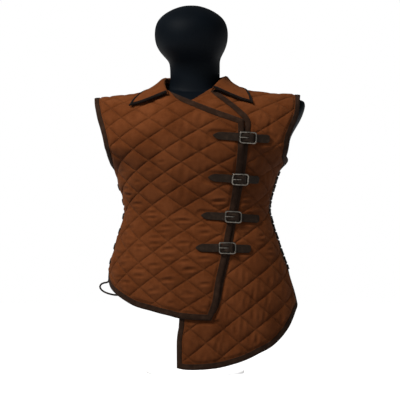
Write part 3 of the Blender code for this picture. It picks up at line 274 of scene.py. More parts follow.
def distance_to(points: np.ndarray, line: Sequence[Point], closed: bool = False) -> np.ndarray:
    """How far each flat point lies from a line.

    Args:
        points: Flat points, n by 2.
        line: The line's points.
        closed: Whether its last point joins its first.

    Returns:
        The n distances.
    """
    ends = np.array(list(line) + ([line[0]] if closed else []), float)
    best = np.full(len(points), 1e9)
    for a, b in zip(ends, ends[1:]):
        d = b - a
        t = np.clip(((points - a) @ d) / max(1e-9, d @ d), 0, 1)
        best = np.minimum(best, np.linalg.norm(points - a - t[:, None] * d, axis=1))
    return best


def inside(points: np.ndarray, polygon: Sequence[Point]) -> np.ndarray:
    """Which flat points lie in a polygon.

    Args:
        points: Flat points, n by 2.
        polygon: The polygon's corners.

    Returns:
        n booleans.
    """
    ring = np.array(polygon, float)
    res = np.zeros(len(points), bool)
    for (x0, y0), (x1, y1) in zip(ring, np.roll(ring, -1, axis=0)):
        if y0 == y1:
            continue
        crosses = (points[:, 1] >= min(y0, y1)) & (points[:, 1] < max(y0, y1))
        res ^= crosses & (points[:, 0] < x0 + (points[:, 1] - y0) * (x1 - x0) / (y1 - y0))
    return res


# ---------------------------------------------------------------- body surface
@dataclass
class BodySurface:
    """The surface that the garment's inner side follows.

    Level sections are superellipses up to Z_TOP. Above it chest and back turn over to the shoulder ridge.
    """

    step: float = 2.0
    columns: int = 121
    arcs: dict = field(default_factory=dict)

    def __post_init__(self) -> None:
        """Works out the tables of the level sections."""
        self.levels = np.arange(0.0, Z_TOP + self.step, self.step)
        share = np.linspace(0, 1, self.columns)
        f = share * math.pi / 2
        sx, cy = np.sin(f) ** (2 / SECTION_N), np.maximum(0, np.cos(f)) ** (2 / SECTION_N)
        for side in Side:
            for face in Face:
                rows = []
                for z in self.levels:
                    x = curve_at(SIDE_ROWS, z, 1 if side < 0 else 2) * sx
                    y = curve_at(DEPTH_ROWS, z, 1 if face < 0 else 2) * cy
                    s = np.concatenate([[0.0], np.cumsum(np.hypot(np.diff(x), np.diff(y)))])
                    rows.append((s[-1], np.interp(share * s[-1], s, x), np.interp(share * s[-1], s, y)))
                self.arcs[int(side), int(face)] = tuple(np.array(c) for c in zip(*rows))
        self.heights = np.arange(0.0, 901.0, 4.0)
        self.wraps = np.array([curve_at(WRAP_ROWS, z) for z in self.heights])
        self.ridge_x = np.arange(0.0, 301.0, 2.0)
        self.ridge_z = np.array([curve_at(RIDGE_ROWS, x) for x in self.ridge_x])

    def wrap(self, z: np.ndarray | float) -> np.ndarray:
        """The share of the flat width that a level takes."""
        return np.interp(z, self.heights, self.wraps)

    def ridge(self, x: np.ndarray | float) -> np.ndarray:
        """The shoulder ridge's height at x."""
        return np.interp(np.abs(x), self.ridge_x, self.ridge_z) + RIDGE_TILT * np.asarray(x)

    @staticmethod
    def over_shoulder(y: np.ndarray | float) -> np.ndarray:
        """The length of the quarter turn from a depth of y up to the ridge."""
        h = ((y - CAP) / (y + CAP)) ** 2
        return math.pi / 4 * (y + CAP) * (1 + 3 * h / (10 + np.sqrt(4 - 3 * h)))

    def level(self, side: int, face: int, z: float) -> tuple[float, np.ndarray, np.ndarray]:
        """One quarter of a level section.

        Args:
            side: The wearer's side.
            face: Front or back.
            z: The height.

        Returns:
            Its arc length, and the x and y of its evenly spaced points.
        """
        length, xs, ys = self.arcs[side, face]
        row = min(len(self.levels) - 1.001, max(0.0, min(z, Z_TOP) / self.step))
        i = int(row)
        t = row - i
        return length[i] * (1 - t) + length[i + 1] * t, xs[i] * (1 - t) + xs[i + 1] * t, ys[i] * (1 - t) + ys[i + 1] * t

    def side_u(self, side: int, face: int, v: np.ndarray | float) -> np.ndarray:
        """The flat distance from the middle line to the side, at heights v."""
        v = np.minimum(v, Z_TOP)
        return np.interp(v, self.levels, self.arcs[side, face][0]) / self.wrap(v)

    def _read(self, face: int, u: np.ndarray, v: np.ndarray) -> tuple[np.ndarray, np.ndarray]:
        """x (unsigned) and y (unsigned) of the section at flat points, without folds."""
        z = np.clip(v, 0.0, Z_TOP)
        row = np.minimum(z / self.step, len(self.levels) - 1.001)
        i = row.astype(int)
        t = row - i
        reach = np.abs(u) * self.wrap(z)
        x, y = np.zeros_like(u), np.zeros_like(u)
        for side in (-1, 1):
            m = (u < 0) if side < 0 else (u >= 0)
            if not m.any():
                continue
            length, xs, ys = self.arcs[side, face]
            im, tm = i[m], t[m]
            full = length[im] * (1 - tm) + length[im + 1] * tm
            c = np.clip(reach[m] / full, 0, 1) * (self.columns - 1)
            j = np.minimum(c.astype(int), self.columns - 2)
            s = c - j
            for target, grid in ((x, xs), (y, ys)):
                low = grid[im, j] * (1 - s) + grid[im, j + 1] * s
                high = grid[im + 1, j] * (1 - s) + grid[im + 1, j + 1] * s
                target[m] = low * (1 - tm) + high * tm
        return x, y

    def place(self, face: int, u: np.ndarray, v: np.ndarray) -> np.ndarray:
        """Lays flat points on the body.

        Args:
            face: Front or back.
            u: Flat distances round the body.
            v: Flat heights.

        Returns:
            Their places in millimetres, n by 3.
        """
        u, v = np.atleast_1d(np.asarray(u, float)), np.atleast_1d(np.asarray(v, float))
        side = np.where(u < 0, -1.0, 1.0)
        x, y = self._read(face, u, v)
        low = smooth((215 - v) / 120)
        folded = y + low * (3.2 * np.sin(side * x / 21.0 + 0.6 + v / 160) + 1.4 * np.sin(side * x / 9.5 + 2.0))
        turn = self.ridge(side * x) - CAP
        over = (v > Z_TOP) & (v > turn)
        f = np.clip((v - turn) / self.over_shoulder(y), 0, 1) * math.pi / 2
        depth = np.where(over, y * np.cos(f), np.where(v > Z_TOP, y, folded))
        return np.stack([side * x, face * depth, np.where(over, turn + CAP * np.sin(f), v)], axis=1)

    def top_v(self, face: int, u: np.ndarray) -> np.ndarray:
        """The flat height of the shoulder ridge at u."""
        x, y = self._read(face, u, np.full_like(u, Z_TOP))
        return self.ridge(np.where(u < 0, -1.0, 1.0) * x) - CAP + self.over_shoulder(y)

    def outward(self, face: int, u: np.ndarray, v: np.ndarray) -> np.ndarray:
        """The surface's outward directions at flat points, n by 3."""
        right, left = self.side_u(-1, face, v), self.side_u(1, face, v)
        u0, u1 = u - 1.0, u + 1.0
        past = (u1 > left) & (u >= 0)
        u0, u1 = np.where(past, left - 2, u0), np.where(past, left, u1)
        past = (u0 < -right) & (u < 0)
        u0, u1 = np.where(past, -right, u0), np.where(past, -right + 2, u1)
        roof = self.top_v(face, u)
        past = v + 1.0 >= roof
        v0, v1 = np.where(past, roof - 2, v - 1.0), np.where(past, roof, v + 1.0)
        a = self.place(face, u1, v) - self.place(face, u0, v)
        b = self.place(face, u, v1) - self.place(face, u, v0)
        return unit(np.cross(a, b) * -face)

    def out(self, face: int, u: np.ndarray, v: np.ndarray, h: np.ndarray | float) -> np.ndarray:
        """Places that lie h out from the surface.

        Args:
            face: Front or back.
            u: Flat distances round the body.
            v: Flat heights.
            h: Heights over the surface.

        Returns:
            The places in millimetres, n by 3.
        """
        u, v = np.atleast_1d(np.asarray(u, float)), np.atleast_1d(np.asarray(v, float))
        return self.place(face, u, v) + self.outward(face, u, v) * np.broadcast_to(h, u.shape)[:, None]

    def flat(self, face: int, x: float, z: float) -> Point:
        """The flat point of the surface that is seen at x and z from the front or back."""
        side = -1 if x < 0 else 1
        length, xs, ys = self.level(side, face, z)
        s = float(np.interp(abs(x), xs, np.linspace(0, length, self.columns)))
        y = float(np.interp(s, np.linspace(0, length, self.columns), ys))
        if z > Z_TOP:
            turn = float(self.ridge(x)) - CAP
            if z > turn:
                f = math.asin(min(1.0, (z - turn) / CAP))
                return side * s, turn + f / (math.pi / 2) * float(self.over_shoulder(y))
            return side * s, z
        return side * s / float(self.wrap(z)), z


BODY = BodySurface()


def lift(u: np.ndarray | float) -> np.ndarray:
    """How far out the overlapping front rides at u."""
    return LIFT * smooth((np.asarray(u, float) + 88) / 44)


def level_base(u: np.ndarray | float) -> np.ndarray:
    """The base of a piece that lies straight on the body."""
    return np.zeros_like(np.asarray(u, float))


# ---------------------------------------------------------------- cutting the pieces
def offset_corner(a: Point, b: Point, c: Point, d0: float, d1: float) -> Vector:
    """Where the edges a-b and b-c meet once each has moved in.

    Args:
        a: The corner before.
        b: The corner that moves.
        c: The corner after.
        d0: How far a-b moves in; the inside is on its left.
        d1: How far b-c moves in.

    Returns:
        The moved corner.
    """
    e0, e1 = (Vector(b) - Vector(a)).normalized(), (Vector(c) - Vector(b)).normalized()
    n0, n1 = Vector((-e0.y, e0.x)), Vector((-e1.y, e1.x))
    cross = e0.x * e1.y - e0.y * e1.x
    if abs(cross) < 0.05:
        n = (n0 + n1).normalized()
        return Vector(b) + n * ((d0 + d1) / 2 / max(0.5, n.dot(n0)))
    p, q = Vector(b) + n0 * d0, Vector(b) + n1 * d1
    t = ((q.x - p.x) * e1.y - (q.y - p.y) * e1.x) / cross
    return p + e0 * t


class Outline:
    """A piece's closed outline with the inside on the left, as named edges of flat points."""

    def __init__(self, edges: Sequence[tuple[str, Sequence[Point]]]) -> None:
        """Joins the edges.

        Args:
            edges: Names and points; each edge ends where the next begins.
        """
        self.points: list[Point] = []
        self.owner: list[str] = []
        self.first: dict[str, int] = {}
        for name, pts in edges:
            self.first[name] = len(self.points)
            for p in pts[:-1]:
                self.points.append((float(p[0]), float(p[1])))
                self.owner.append(name)
        self.names = [e[0] for e in edges]

    def inset(self, widths: dict[str, float]) -> list[Vector]:
        """The outline drawn in by each edge's own width."""
        n, pts = len(self.points), self.points
        return [offset_corner(pts[i - 1], pts[i], pts[(i + 1) % n], widths[self.owner[i - 1]], widths[self.owner[i]])
                for i in range(n)]

    def settle(self, widths: dict[str, float], least: float) -> None:
        """Drops points that crowd a corner once the outline is drawn in.

        Args:
            widths: How far each edge is drawn in.
            least: The smallest distance between drawn-in points.
        """
        while True:
            moved, n = self.inset(widths), len(self.points)
            corners = set(self.first.values())
            drop = None
            for i in range(n):
                j = (i + 1) % n
                d = (Vector(self.points[j]) - Vector(self.points[i])).normalized()
                if (moved[j] - moved[i]).dot(d) < least:
                    drop = next((k for k in (j, i) if k not in corners), None)
                    if drop is not None:
                        break
            if drop is None:
                return
            del self.points[drop], self.owner[drop]
            self.first = {k: v - (v > drop) for k, v in self.first.items()}

    def span(self, name: str, last: str | None = None) -> list[int]:
        """Indices of the points of one edge, or of several in a row, with both ends."""
        i, n = self.first[name], len(self.points)
        k = (self.names.index(last or name) + 1) % len(self.names)
        stop = self.first[self.names[k]]
        found = [i]
        while found[-1] != stop or len(found) == 1:
            found.append((found[-1] + 1) % n)
        return found


def seen(face: int, points: Sequence[Point], step: float) -> list[Point]:
    """Evenly spaced flat points of an edge that is given by x and z."""
    return even([BODY.flat(face, x, z) for x, z in spline(points, 10)], step)


def side_points(side: int, face: int, z0: float, z1: float, gap: float = 0.0, step: float = 7.0) -> list[Point]:
    """Flat points down or up a side edge, gap short of the side."""
    n = max(2, round(abs(z1 - z0) / step))
    zs = [z0 + (z1 - z0) * k / n for k in range(n + 1)]
    return [(side * (float(BODY.side_u(side, face, z)) - gap), z) for z in zs]


def shoulder_points(face: int, x0: float, x1: float, step: float = 8.0) -> list[Point]:
    """Flat points along the shoulder seam, from x0 to x1."""
    n = max(1, round(abs(x1 - x0) / step))
    return [BODY.flat(face, x0 + (x1 - x0) * k / n, TOP) for k in range(n + 1)]


def arm_points(side: int, face: int, gap: float, step: float = 6.0) -> list[Point]:
    """Flat points of an armhole, from the shoulder ridge down."""
    low = UNDERARM[side]
    pts = [BODY.flat(face, side * ARM_TIP[side], TOP)]
    pts += [BODY.flat(face, side * x, z) for z, x in ARM_ROWS[side, face]]
    pts.append((side * (float(BODY.side_u(side, face, low)) - gap), low))
    return even(spline(pts, 9), step)


def neck_ridge(side: int, face: int) -> Point:
    """The flat point where the neck meets the shoulder seam."""
    return BODY.flat(face, side * NECK_X[side], TOP)


def back_neck_point(x: float, y: float) -> Point:
    """The flat point of the back at x, where the surface is y behind the ridge."""
    side = -1 if x < 0 else 1
    length, xs, ys = BODY.level(side, 1, Z_TOP)
    at = np.linspace(0, length, BODY.columns)
    u = float(np.interp(abs(x), xs, at))
    full = float(np.interp(u, at, ys))
    f = math.acos(min(1.0, y / full))
    return side * u, float(BODY.ridge(x)) - CAP + f / (math.pi / 2) * float(BODY.over_shoulder(full))


def over_outline() -> Outline:
    """The wearer's right front, which closes over the left."""
    side = side_points(-1, -1, UNDERARM[-1], 240)
    hem = even(spline([side[-1]] + [BODY.flat(-1, x, z) for x, z in OVER_HEM], 9), 6)
    neck = even([BODY.flat(-1, x, z) for x, z in spline(OVER_NECK, 8)] + [neck_ridge(-1, -1)], 6)
    return Outline([
        ("side", side), ("hem", hem), ("closing", seen(-1, CLOSING, 7)), ("neckline", seen(-1, OVER_NECKLINE, 7)),
        ("neck", neck), ("shoulder", shoulder_points(-1, -NECK_X[-1], -ARM_TIP[-1])),
        ("armhole", arm_points(-1, -1, 0))])


def under_outline() -> Outline:
    """The wearer's left front, with the long skirt."""
    side = side_points(1, -1, 163.4, UNDERARM[1])
    hem = even(spline([BODY.flat(-1, x, z) for x, z in UNDER_HEM] + [side[0]], 9), 6)
    neck = even([neck_ridge(1, -1)] + [BODY.flat(-1, x, z) for x, z in spline(UNDER_NECK, 8)], 6)
    return Outline([
        ("edge", seen(-1, UNDER_EDGE, 8)), ("hem", hem), ("side", side), ("armhole", arm_points(1, -1, 0)[::-1]),
        ("shoulder", shoulder_points(-1, ARM_TIP[1], NECK_X[1])), ("neck", neck),
        ("neckline", seen(-1, UNDER_NECKLINE, 6))])


def back_outline() -> Outline:
    """The back, which stops short of both fronts at the laced sides."""
    right = side_points(-1, 1, UNDERARM[-1], BACK_HEM_SIDE + 16, SIDE_GAP)
    left = side_points(1, 1, BACK_HEM_SIDE + 16, UNDERARM[1], SIDE_GAP)
    reach = [right[-1], (right[-1][0] + 9, BACK_HEM_SIDE + 1), (-130, BACK_HEM_SIDE - 10), (0, BACK_HEM_MIDDLE),
             (130, BACK_HEM_SIDE - 10), (left[0][0] - 9, BACK_HEM_SIDE + 1), left[0]]
    neck = [neck_ridge(1, 1)] + [back_neck_point(x, y) for x, y in BACK_NECK] + [
        back_neck_point(-x, y) for x, y in BACK_NECK[-2::-1]] + [neck_ridge(-1, 1)]
    return Outline([
        ("side_r", right), ("hem", even(spline(reach, 9), 7)), ("side_l", left),
        ("arm_l", arm_points(1, 1, SIDE_GAP)[::-1]), ("shoulder_l", shoulder_points(1, ARM_TIP[1], NECK_X[1])),
        ("neck", even(spline(neck, 8), 7)), ("shoulder_r", shoulder_points(1, -NECK_X[-1], -ARM_TIP[-1])),
        ("arm_r", arm_points(-1, 1, SIDE_GAP))])


@dataclass
class Cut:
    """A cut piece of the garment."""

    face: Face
    outline: Outline
    bound: set[str]  # names of the edges with a binding

    def __post_init__(self) -> None:
        """Drops points that would crowd a corner under the binding."""
        self.outline.settle({n: BIND_W + 5 if n in self.bound else SEAM for n in self.outline.names}, 1.2)

    def drawn_in(self, width: float) -> list[Vector]:
        """The outline drawn in at its bound edges, true to size on the body.

        Args:
            width: How far the bound edges move in; the others stay where they are.

        Returns:
            One flat point for each point of the outline.
        """
        owner = self.outline.owner
        moved = self.outline.inset({n: width if n in self.bound else 0.0 for n in self.outline.names})
        res = []
        for i, (p, q) in enumerate(zip(self.outline.points, moved)):
            a = Vector(p)
            d = q - a
            k = 1.0
            if d.length > 0.5:
                at = BODY.place(self.face, a.x, a.y)[0]
                mixed = (owner[i - 1] in self.bound) != (owner[i] in self.bound)
                aim = width if mixed else d.length
                for _ in range(4):
                    e = a + d * k
                    k *= aim / max(0.5, float(np.linalg.norm(BODY.place(self.face, e.x, e.y)[0] - at)))
                k = min(2.2, max(0.8, k))
            res.append(a + d * k)
        return res

    def edge(self, name: str) -> list[Point]:
        """The points of one edge."""
        return [self.outline.points[i] for i in self.outline.span(name)]

    def strip(self, first: str, last: str | None = None) -> list[tuple[int, Point, Point]]:
        """Stations of a binding along an edge, or along a run of them."""
        line = self.drawn_in(BIND_W)
        return [(self.face, self.outline.points[i], tuple(line[i])) for i in self.outline.span(first, last)]


# ---------------------------------------------------------------- meshes
def linked(name: str, mesh: bpy.types.Mesh) -> bpy.types.Object:
    """A new object of a mesh, in the scene."""
    obj = bpy.data.objects.new(name, mesh)
    bpy.context.scene.collection.objects.link(obj)
    return obj


def baked(obj: bpy.types.Object) -> bpy.types.Mesh:
    """The mesh that an object's modifiers make, shaded smooth."""
    mesh = bpy.data.meshes.new_from_object(obj.evaluated_get(bpy.context.evaluated_depsgraph_get()))
    mesh.polygons.foreach_set("use_smooth", [True] * len(mesh.polygons))
    return mesh


def mesh_points(mesh: bpy.types.Mesh) -> np.ndarray:
    """A mesh's vertices as rows."""
    flat = np.empty(3 * len(mesh.vertices))
    mesh.vertices.foreach_get("co", flat)
    return flat.reshape(-1, 3)


def make_mesh(name: str, points: np.ndarray, faces: Sequence[Sequence[int]]) -> bpy.types.Object:
    """Makes a mesh object at the origin.

    Args:
        name: The piece's name.
        points: Places in millimetres, n by 3.
        faces: Corner indices.

    Returns:
        The linked object.
    """
    mesh = bpy.data.meshes.new(name)
    mesh.from_pydata((np.asarray(points, float) * MM).tolist(), [], [list(f) for f in faces])
    mesh.polygons.foreach_set("use_smooth", [True] * len(mesh.polygons))
    mesh.update()
    return linked(name, mesh)


def add_uv(obj: bpy.types.Object, flat: np.ndarray) -> None:
    """Gives a mesh its UV map, "flat", from one flat point for each vertex.

    Args:
        obj: The piece.
        flat: Flat points in millimetres, n by 2; they are stored in metres.
    """
    layer = obj.data.uv_layers.new(name="flat")
    index = np.zeros(len(obj.data.loops), int)
    obj.data.loops.foreach_get("vertex_index", index)
    layer.data.foreach_set("uv", (np.asarray(flat, float)[index] * MM).ravel())


def add_value(obj: bpy.types.Object, name: str, values: np.ndarray) -> None:
    """Gives a mesh one named number for each vertex."""
    attribute = obj.data.attributes.new(name, "FLOAT", "POINT")
    attribute.data.foreach_set("value", np.asarray(values, np.float32))


def face_outward(obj: bpy.types.Object) -> None:
    """Turns a closed mesh's faces outwards."""
    bm = bmesh.new()
    bm.from_mesh(obj.data)
    bmesh.ops.recalc_face_normals(bm, faces=bm.faces)
    bm.to_mesh(obj.data)
    bm.free()


def loft(name: str, rings: Sequence[np.ndarray]) -> bpy.types.Object:
    """A closed body through equal rings of points.

    Args:
        name: The piece's name.
        rings: Rings in millimetres, each n by 3.

    Returns:
        The object, with a UV map of the length along it and the distance round it.
    """
    n = len(rings[0])
    points = np.concatenate(rings)
    faces = []
    for k in range(0, (len(rings) - 1) * n, n):
        faces += [(k + i, k + (i + 1) % n, k + n + (i + 1) % n, k + n + i) for i in range(n)]
    faces += [tuple(range(n)), tuple((len(rings) - 1) * n + i for i in reversed(range(n)))]
    obj = make_mesh(name, points, faces)
    middles = np.array([r.mean(axis=0) for r in rings])
    girth = lengths(rings[len(rings) // 2])
    add_uv(obj, np.array([(s, g) for s in lengths(middles) for g in girth]))
    face_outward(obj)
    return obj


def tube(name: str, path: Sequence[Sequence[float]], radius: float, sides: int = 10) -> bpy.types.Object:
    """A round cord along a path in millimetres.

    Args:
        name: The piece's name.
        path: The points that it follows.
        radius: Its radius.
        sides: Points round it.

    Returns:
        The object.
    """
    pts = [Vector(p) for p in path]
    normal, rings = None, []
    for i, p in enumerate(pts):
        d = (pts[min(i + 1, len(pts) - 1)] - pts[max(i - 1, 0)]).normalized()
        normal = d.orthogonal().normalized() if normal is None else (normal - d * normal.dot(d)).normalized()
        side = d.cross(normal)
        turns = [2 * math.pi * k / sides for k in range(sides)]
        rings.append(np.array([p + (normal * math.cos(f) + side * math.sin(f)) * radius for f in turns]))
    return loft(name, rings)


# ---------------------------------------------------------------- finishes
def feed(node: bpy.types.Node, inputs: dict[str | int, object]) -> None:
    """Links sockets to a node's inputs, and sets the plain values among them."""
    for key, value in inputs.items():
        if isinstance(value, Socket):
            node.id_data.links.new(value, node.inputs[key])
        else:
            node.inputs[key].default_value = value


def wired(tree: bpy.types.NodeTree, kind: str, inputs: dict[str | int, object] | None = None,
          **settings: str) -> Socket | None:
    """A new node of a tree.

    Args:
        tree: The tree.
        kind: The node's kind.
        inputs: Plain values, or the sockets that are linked, by input.
        **settings: The node's own settings.

    Returns:
        The node's first output, if it has one.
    """
    new = tree.nodes.new(kind)
    for key, value in settings.items():
        setattr(new, key, value)
    feed(new, inputs or {})
    return new.outputs[0] if new.outputs else None


def rgba(colour: Colour | Socket) -> tuple[float, ...] | Socket:
    """A colour with full alpha; a socket stays as it is."""
    return (*colour, 1.0) if isinstance(colour, tuple) else colour


class Shade:
    """Builds one material's node tree."""

    def __init__(self, name: str, coordinates: str = "flat") -> None:
        """Starts the material.

        Args:
            name: The material's name.
            coordinates: "object", or the name of the UV map that it reads.
        """
        self.material = bpy.data.materials.new(name)
        self.material.use_nodes = True
        self.tree = self.material.node_tree
        if coordinates == "object":
            self.at = wired(self.tree, "ShaderNodeTexCoord").node.outputs["Object"]
        else:
            self.at = wired(self.tree, "ShaderNodeUVMap", uv_map=coordinates)

    def calc(self, kind: str, a: Socket, b: Socket | float = 0.0) -> Socket:
        """A Math node."""
        return wired(self.tree, "ShaderNodeMath", {0: a, 1: b}, operation=kind)

    def times(self, a: Socket, b: Socket | float) -> Socket:
        """Two numbers multiplied."""
        return self.calc("MULTIPLY", a, b)

    def wave(self, value: Socket, count: float) -> Socket:
        """The sine of a value times a number."""
        return self.calc("SINE", self.times(value, count))

    def split(self) -> tuple[Socket, ...]:
        """The three coordinates."""
        return tuple(wired(self.tree, "ShaderNodeSeparateXYZ", {0: self.at}).node.outputs)

    def stretched(self, x: float, y: float, z: float = 1.0) -> Socket:
        """The coordinates, scaled."""
        return wired(self.tree, "ShaderNodeMapping", {"Vector": self.at, "Scale": (x, y, z)})

    def noise(self, scale: float, detail: float = 3.0, rough: float = 0.5, at: Socket | None = None) -> Socket:
        """Noise from 0 to 1."""
        inputs = {"Vector": at or self.at, "Scale": scale, "Detail": detail, "Roughness": rough}
        return wired(self.tree, "ShaderNodeTexNoise", inputs)

    def spread(self, value: Socket, low: float, high: float, to_low: float = 0.0, to_high: float = 1.0) -> Socket:
        """A value mapped from one range to another, eased and clamped."""
        inputs = {"Value": value, "From Min": low, "From Max": high, "To Min": to_low, "To Max": to_high}
        return wired(self.tree, "ShaderNodeMapRange", inputs, interpolation_type="SMOOTHSTEP")

    def mix(self, share: Socket, a: Colour | Socket, b: Colour | Socket) -> Socket:
        """Two colours mixed."""
        mixed = wired(self.tree, "ShaderNodeMix", data_type="RGBA").node
        feed(mixed, {0: share, 6: rgba(a), 7: rgba(b)})
        return mixed.outputs[2]

    def value_of(self, name: str) -> Socket:
        """A vertex number by name."""
        return wired(self.tree, "ShaderNodeAttribute", attribute_name=name).node.outputs["Fac"]

    def bump(self, height: Socket, depth: float, strength: float, under: Socket | None = None) -> Socket:
        """A bump of a depth in metres, over another normal if one is given."""
        inputs = {"Strength": strength, "Distance": depth, "Height": height, **({"Normal": under} if under else {})}
        return wired(self.tree, "ShaderNodeBump", inputs)

    def finish(self, colour: Socket, rough: Socket | float, normal: Socket, **plain: object) -> bpy.types.Material:
        """Sets the shader.

        Args:
            colour: The base colour.
            rough: The roughness.
            normal: The normal.
            **plain: Plain values of the shader's own sockets, with spaces as underscores.

        Returns:
            The material.
        """
        named = {key.replace("_", " "): value for key, value in plain.items()}
        feed(self.tree.nodes["Principled BSDF"], {"Base Color": colour, "Roughness": rough, "Normal": normal, **named})
        return self.material


def shaded(colour: Colour, factor: float, more: float = 0.0) -> Colour:
    """A colour times a factor, with a little more added."""
    return tuple(min(1.0, factor * c + more) for c in colour)


@dataclass(frozen=True)
class ClothFinish:
    """Plain-woven cotton in uneven dye, with painted shade that darkens its stitched valleys, sewn rows and folds."""

    name: str
    light: Colour
    dark: Colour
    thread: float = 0.0007
    # valley: how far the painted shade in seams, sewn rows and folds darkens the colour
    valley: float = 0.2
    crest: float = 0.22
    slub: float = 0.28

    def material(self) -> bpy.types.Material:
        """Builds the cloth's material."""
        s = Shade(self.name)
        x, y, _ = s.split()
        k = math.pi / self.thread
        weave = s.times(s.wave(x, k), s.wave(y, k))
        dye = s.calc("ADD", s.times(s.noise(13.0, 3.0, 0.5), 0.6), s.times(s.noise(70.0, 4.0, 0.6), 0.4))
        blotch = s.spread(dye, 0.38, 0.64)
        streaks = s.noise(60.0, 3.0, 0.6, s.stretched(9.0, 1.2))
        cross = s.noise(60.0, 3.0, 0.6, s.stretched(1.2, 9.0))
        slubs = s.spread(s.times(streaks, cross), 0.14, 0.38)
        colour = s.mix(blotch, self.dark, self.light)
        colour = s.mix(s.times(slubs, self.slub), colour, shaded(self.light, 1.25))
        # painted shade: the colour darkens by the "valley" value in seams, beside the sewn rows and in folds
        colour = s.mix(s.times(s.value_of("valley"), self.valley), colour, shaded(self.dark, 0.42))
        colour = s.mix(s.times(s.value_of("crest"), self.crest), colour, shaded(self.light, 1.3, 0.006))
        nap = s.bump(s.noise(900.0, 2.0, 0.6), 0.00012, 0.35)
        normal = s.bump(weave, 0.00010, 0.55, nap)
        return s.finish(colour, s.spread(blotch, 0, 1, 0.9, 0.8), normal, Sheen_Weight=0.1, Sheen_Roughness=0.5,
                        Sheen_Tint=(0.9, 0.45, 0.22, 1.0), Specular_IOR_Level=0.05)


@dataclass(frozen=True)
class TapeFinish:
    """Twill binding tape with diagonal ribs, painted lighter on the ribs' tops as highlight."""

    name: str
    colour: Colour
    rib: float = 0.0011

    def material(self) -> bpy.types.Material:
        """Builds the tape's material."""
        s = Shade(self.name)
        x, y, _ = s.split()
        k = 2 * math.pi / self.rib
        rib = s.wave(s.calc("ADD", x, y), k)
        worn = s.spread(s.noise(55.0, 4.0, 0.6), 0.4, 0.75)
        colour = s.mix(worn, self.colour, shaded(self.colour, 1.7, 0.004))
        # painted highlight: the colour lightens on the tops of the ribs
        colour = s.mix(s.times(s.calc("MAXIMUM", rib, 0.0), 0.25), colour, shaded(self.colour, 1.6))
        pucker = s.bump(s.noise(160.0, 2.0, 0.5, s.stretched(1.0, 0.25)), 0.0006, 0.5)
        return s.finish(colour, 0.82, s.bump(rib, 0.00012, 0.6, pucker), Sheen_Weight=0.03, Sheen_Roughness=0.5,
                        Specular_IOR_Level=0.05)


@dataclass(frozen=True)
class LeatherFinish:
    """Dark waxed leather with grain, paler in random worn patches."""

    name: str
    colour: Colour
    worn: Colour

    def material(self) -> bpy.types.Material:
        """Builds the leather's material."""
        s = Shade(self.name, "object")
        grain = wired(s.tree, "ShaderNodeTexVoronoi", {"Vector": s.at, "Scale": 900.0})
        patches = s.spread(s.noise(95.0, 4.0, 0.6), 0.45, 0.8)
        colour = s.mix(patches, self.colour, self.worn)
        normal = s.bump(grain, 0.00018, 0.5, s.bump(s.noise(140.0, 3.0, 0.5), 0.0005, 0.4))
        return s.finish(colour, s.spread(s.noise(220.0, 3.0), 0.2, 0.8, 0.46, 0.64), normal, Specular_IOR_Level=0.08)


@dataclass(frozen=True)
class MetalFinish:
    """Worn cast metal with fine scratches and random dull tarnished patches."""

    name: str
    bright: Colour
    dull: Colour

    def material(self) -> bpy.types.Material:
        """Builds the metal's material."""
        s = Shade(self.name, "object")
        tarnish = s.spread(s.noise(260.0, 4.0, 0.65), 0.42, 0.72)
        scratches = s.noise(700.0, 2.0, 0.7, s.stretched(1.0, 1.0, 9.0))
        normal = s.bump(scratches, 0.00006, 0.35, s.bump(s.noise(420.0, 2.0), 0.0002, 0.3))
        colour = s.mix(tarnish, self.bright, self.dull)
        return s.finish(colour, s.spread(tarnish, 0, 1, 0.32, 0.56), normal, Metallic=1.0)


@dataclass(frozen=True)
class CordFinish:
    """Braided cord, with painted shade darkening the grooves between its strands."""

    name: str
    colour: Colour
    braid: float = 0.0022

    def material(self) -> bpy.types.Material:
        """Builds the cord's material."""
        s = Shade(self.name)
        x, y, _ = s.split()
        k = 2 * math.pi / self.braid
        braid = s.calc("MAXIMUM", *(s.wave(s.calc(kind, x, y), k) for kind in ("ADD", "SUBTRACT")))
        # painted shade: the colour halves in the grooves between the braid's strands
        colour = s.mix(s.spread(braid, 0.0, 1.0), shaded(self.colour, 0.5), self.colour)
        return s.finish(colour, 0.8, s.bump(braid, 0.0003, 0.7), Specular_IOR_Level=0.08)


@dataclass(frozen=True)
class CoverFinish:
    """Fine knitted cover, stretched smooth over the form."""

    name: str
    colour: Colour

    def material(self) -> bpy.types.Material:
        """Builds the cover's material."""
        s = Shade(self.name, "object")
        x, _, z = s.split()
        knit = s.times(s.wave(x, 3600.0), s.wave(z, 2700.0))
        shade = s.mix(s.spread(s.noise(9.0, 3.0), 0.3, 0.7), self.colour, shaded(self.colour, 1.35, 0.001))
        normal = s.bump(knit, 0.00006, 0.3, s.bump(s.noise(45.0, 3.0), 0.0006, 0.25))
        return s.finish(shade, 0.6, normal, Specular_IOR_Level=0.05)


@dataclass(frozen=True)
class PaintFinish:
    """Pale satin paint with a faint orange peel; a light box's cover glows."""

    name: str
    colour: Colour
    glow: float = 0.0

    def material(self) -> bpy.types.Material:
        """Builds the paint's material."""
        s = Shade(self.name, "object")
        shade = s.mix(s.spread(s.noise(18.0, 3.0), 0.35, 0.7), self.colour, shaded(self.colour, 0.94))
        normal = s.bump(s.noise(600.0, 2.0), 0.00008, 0.25)
        return s.finish(shade, s.spread(s.noise(120.0, 2.0), 0.2, 0.8, 0.38, 0.5), normal,
                        Emission_Color=(1.0, 1.0, 1.0, 1.0), Emission_Strength=self.glow)


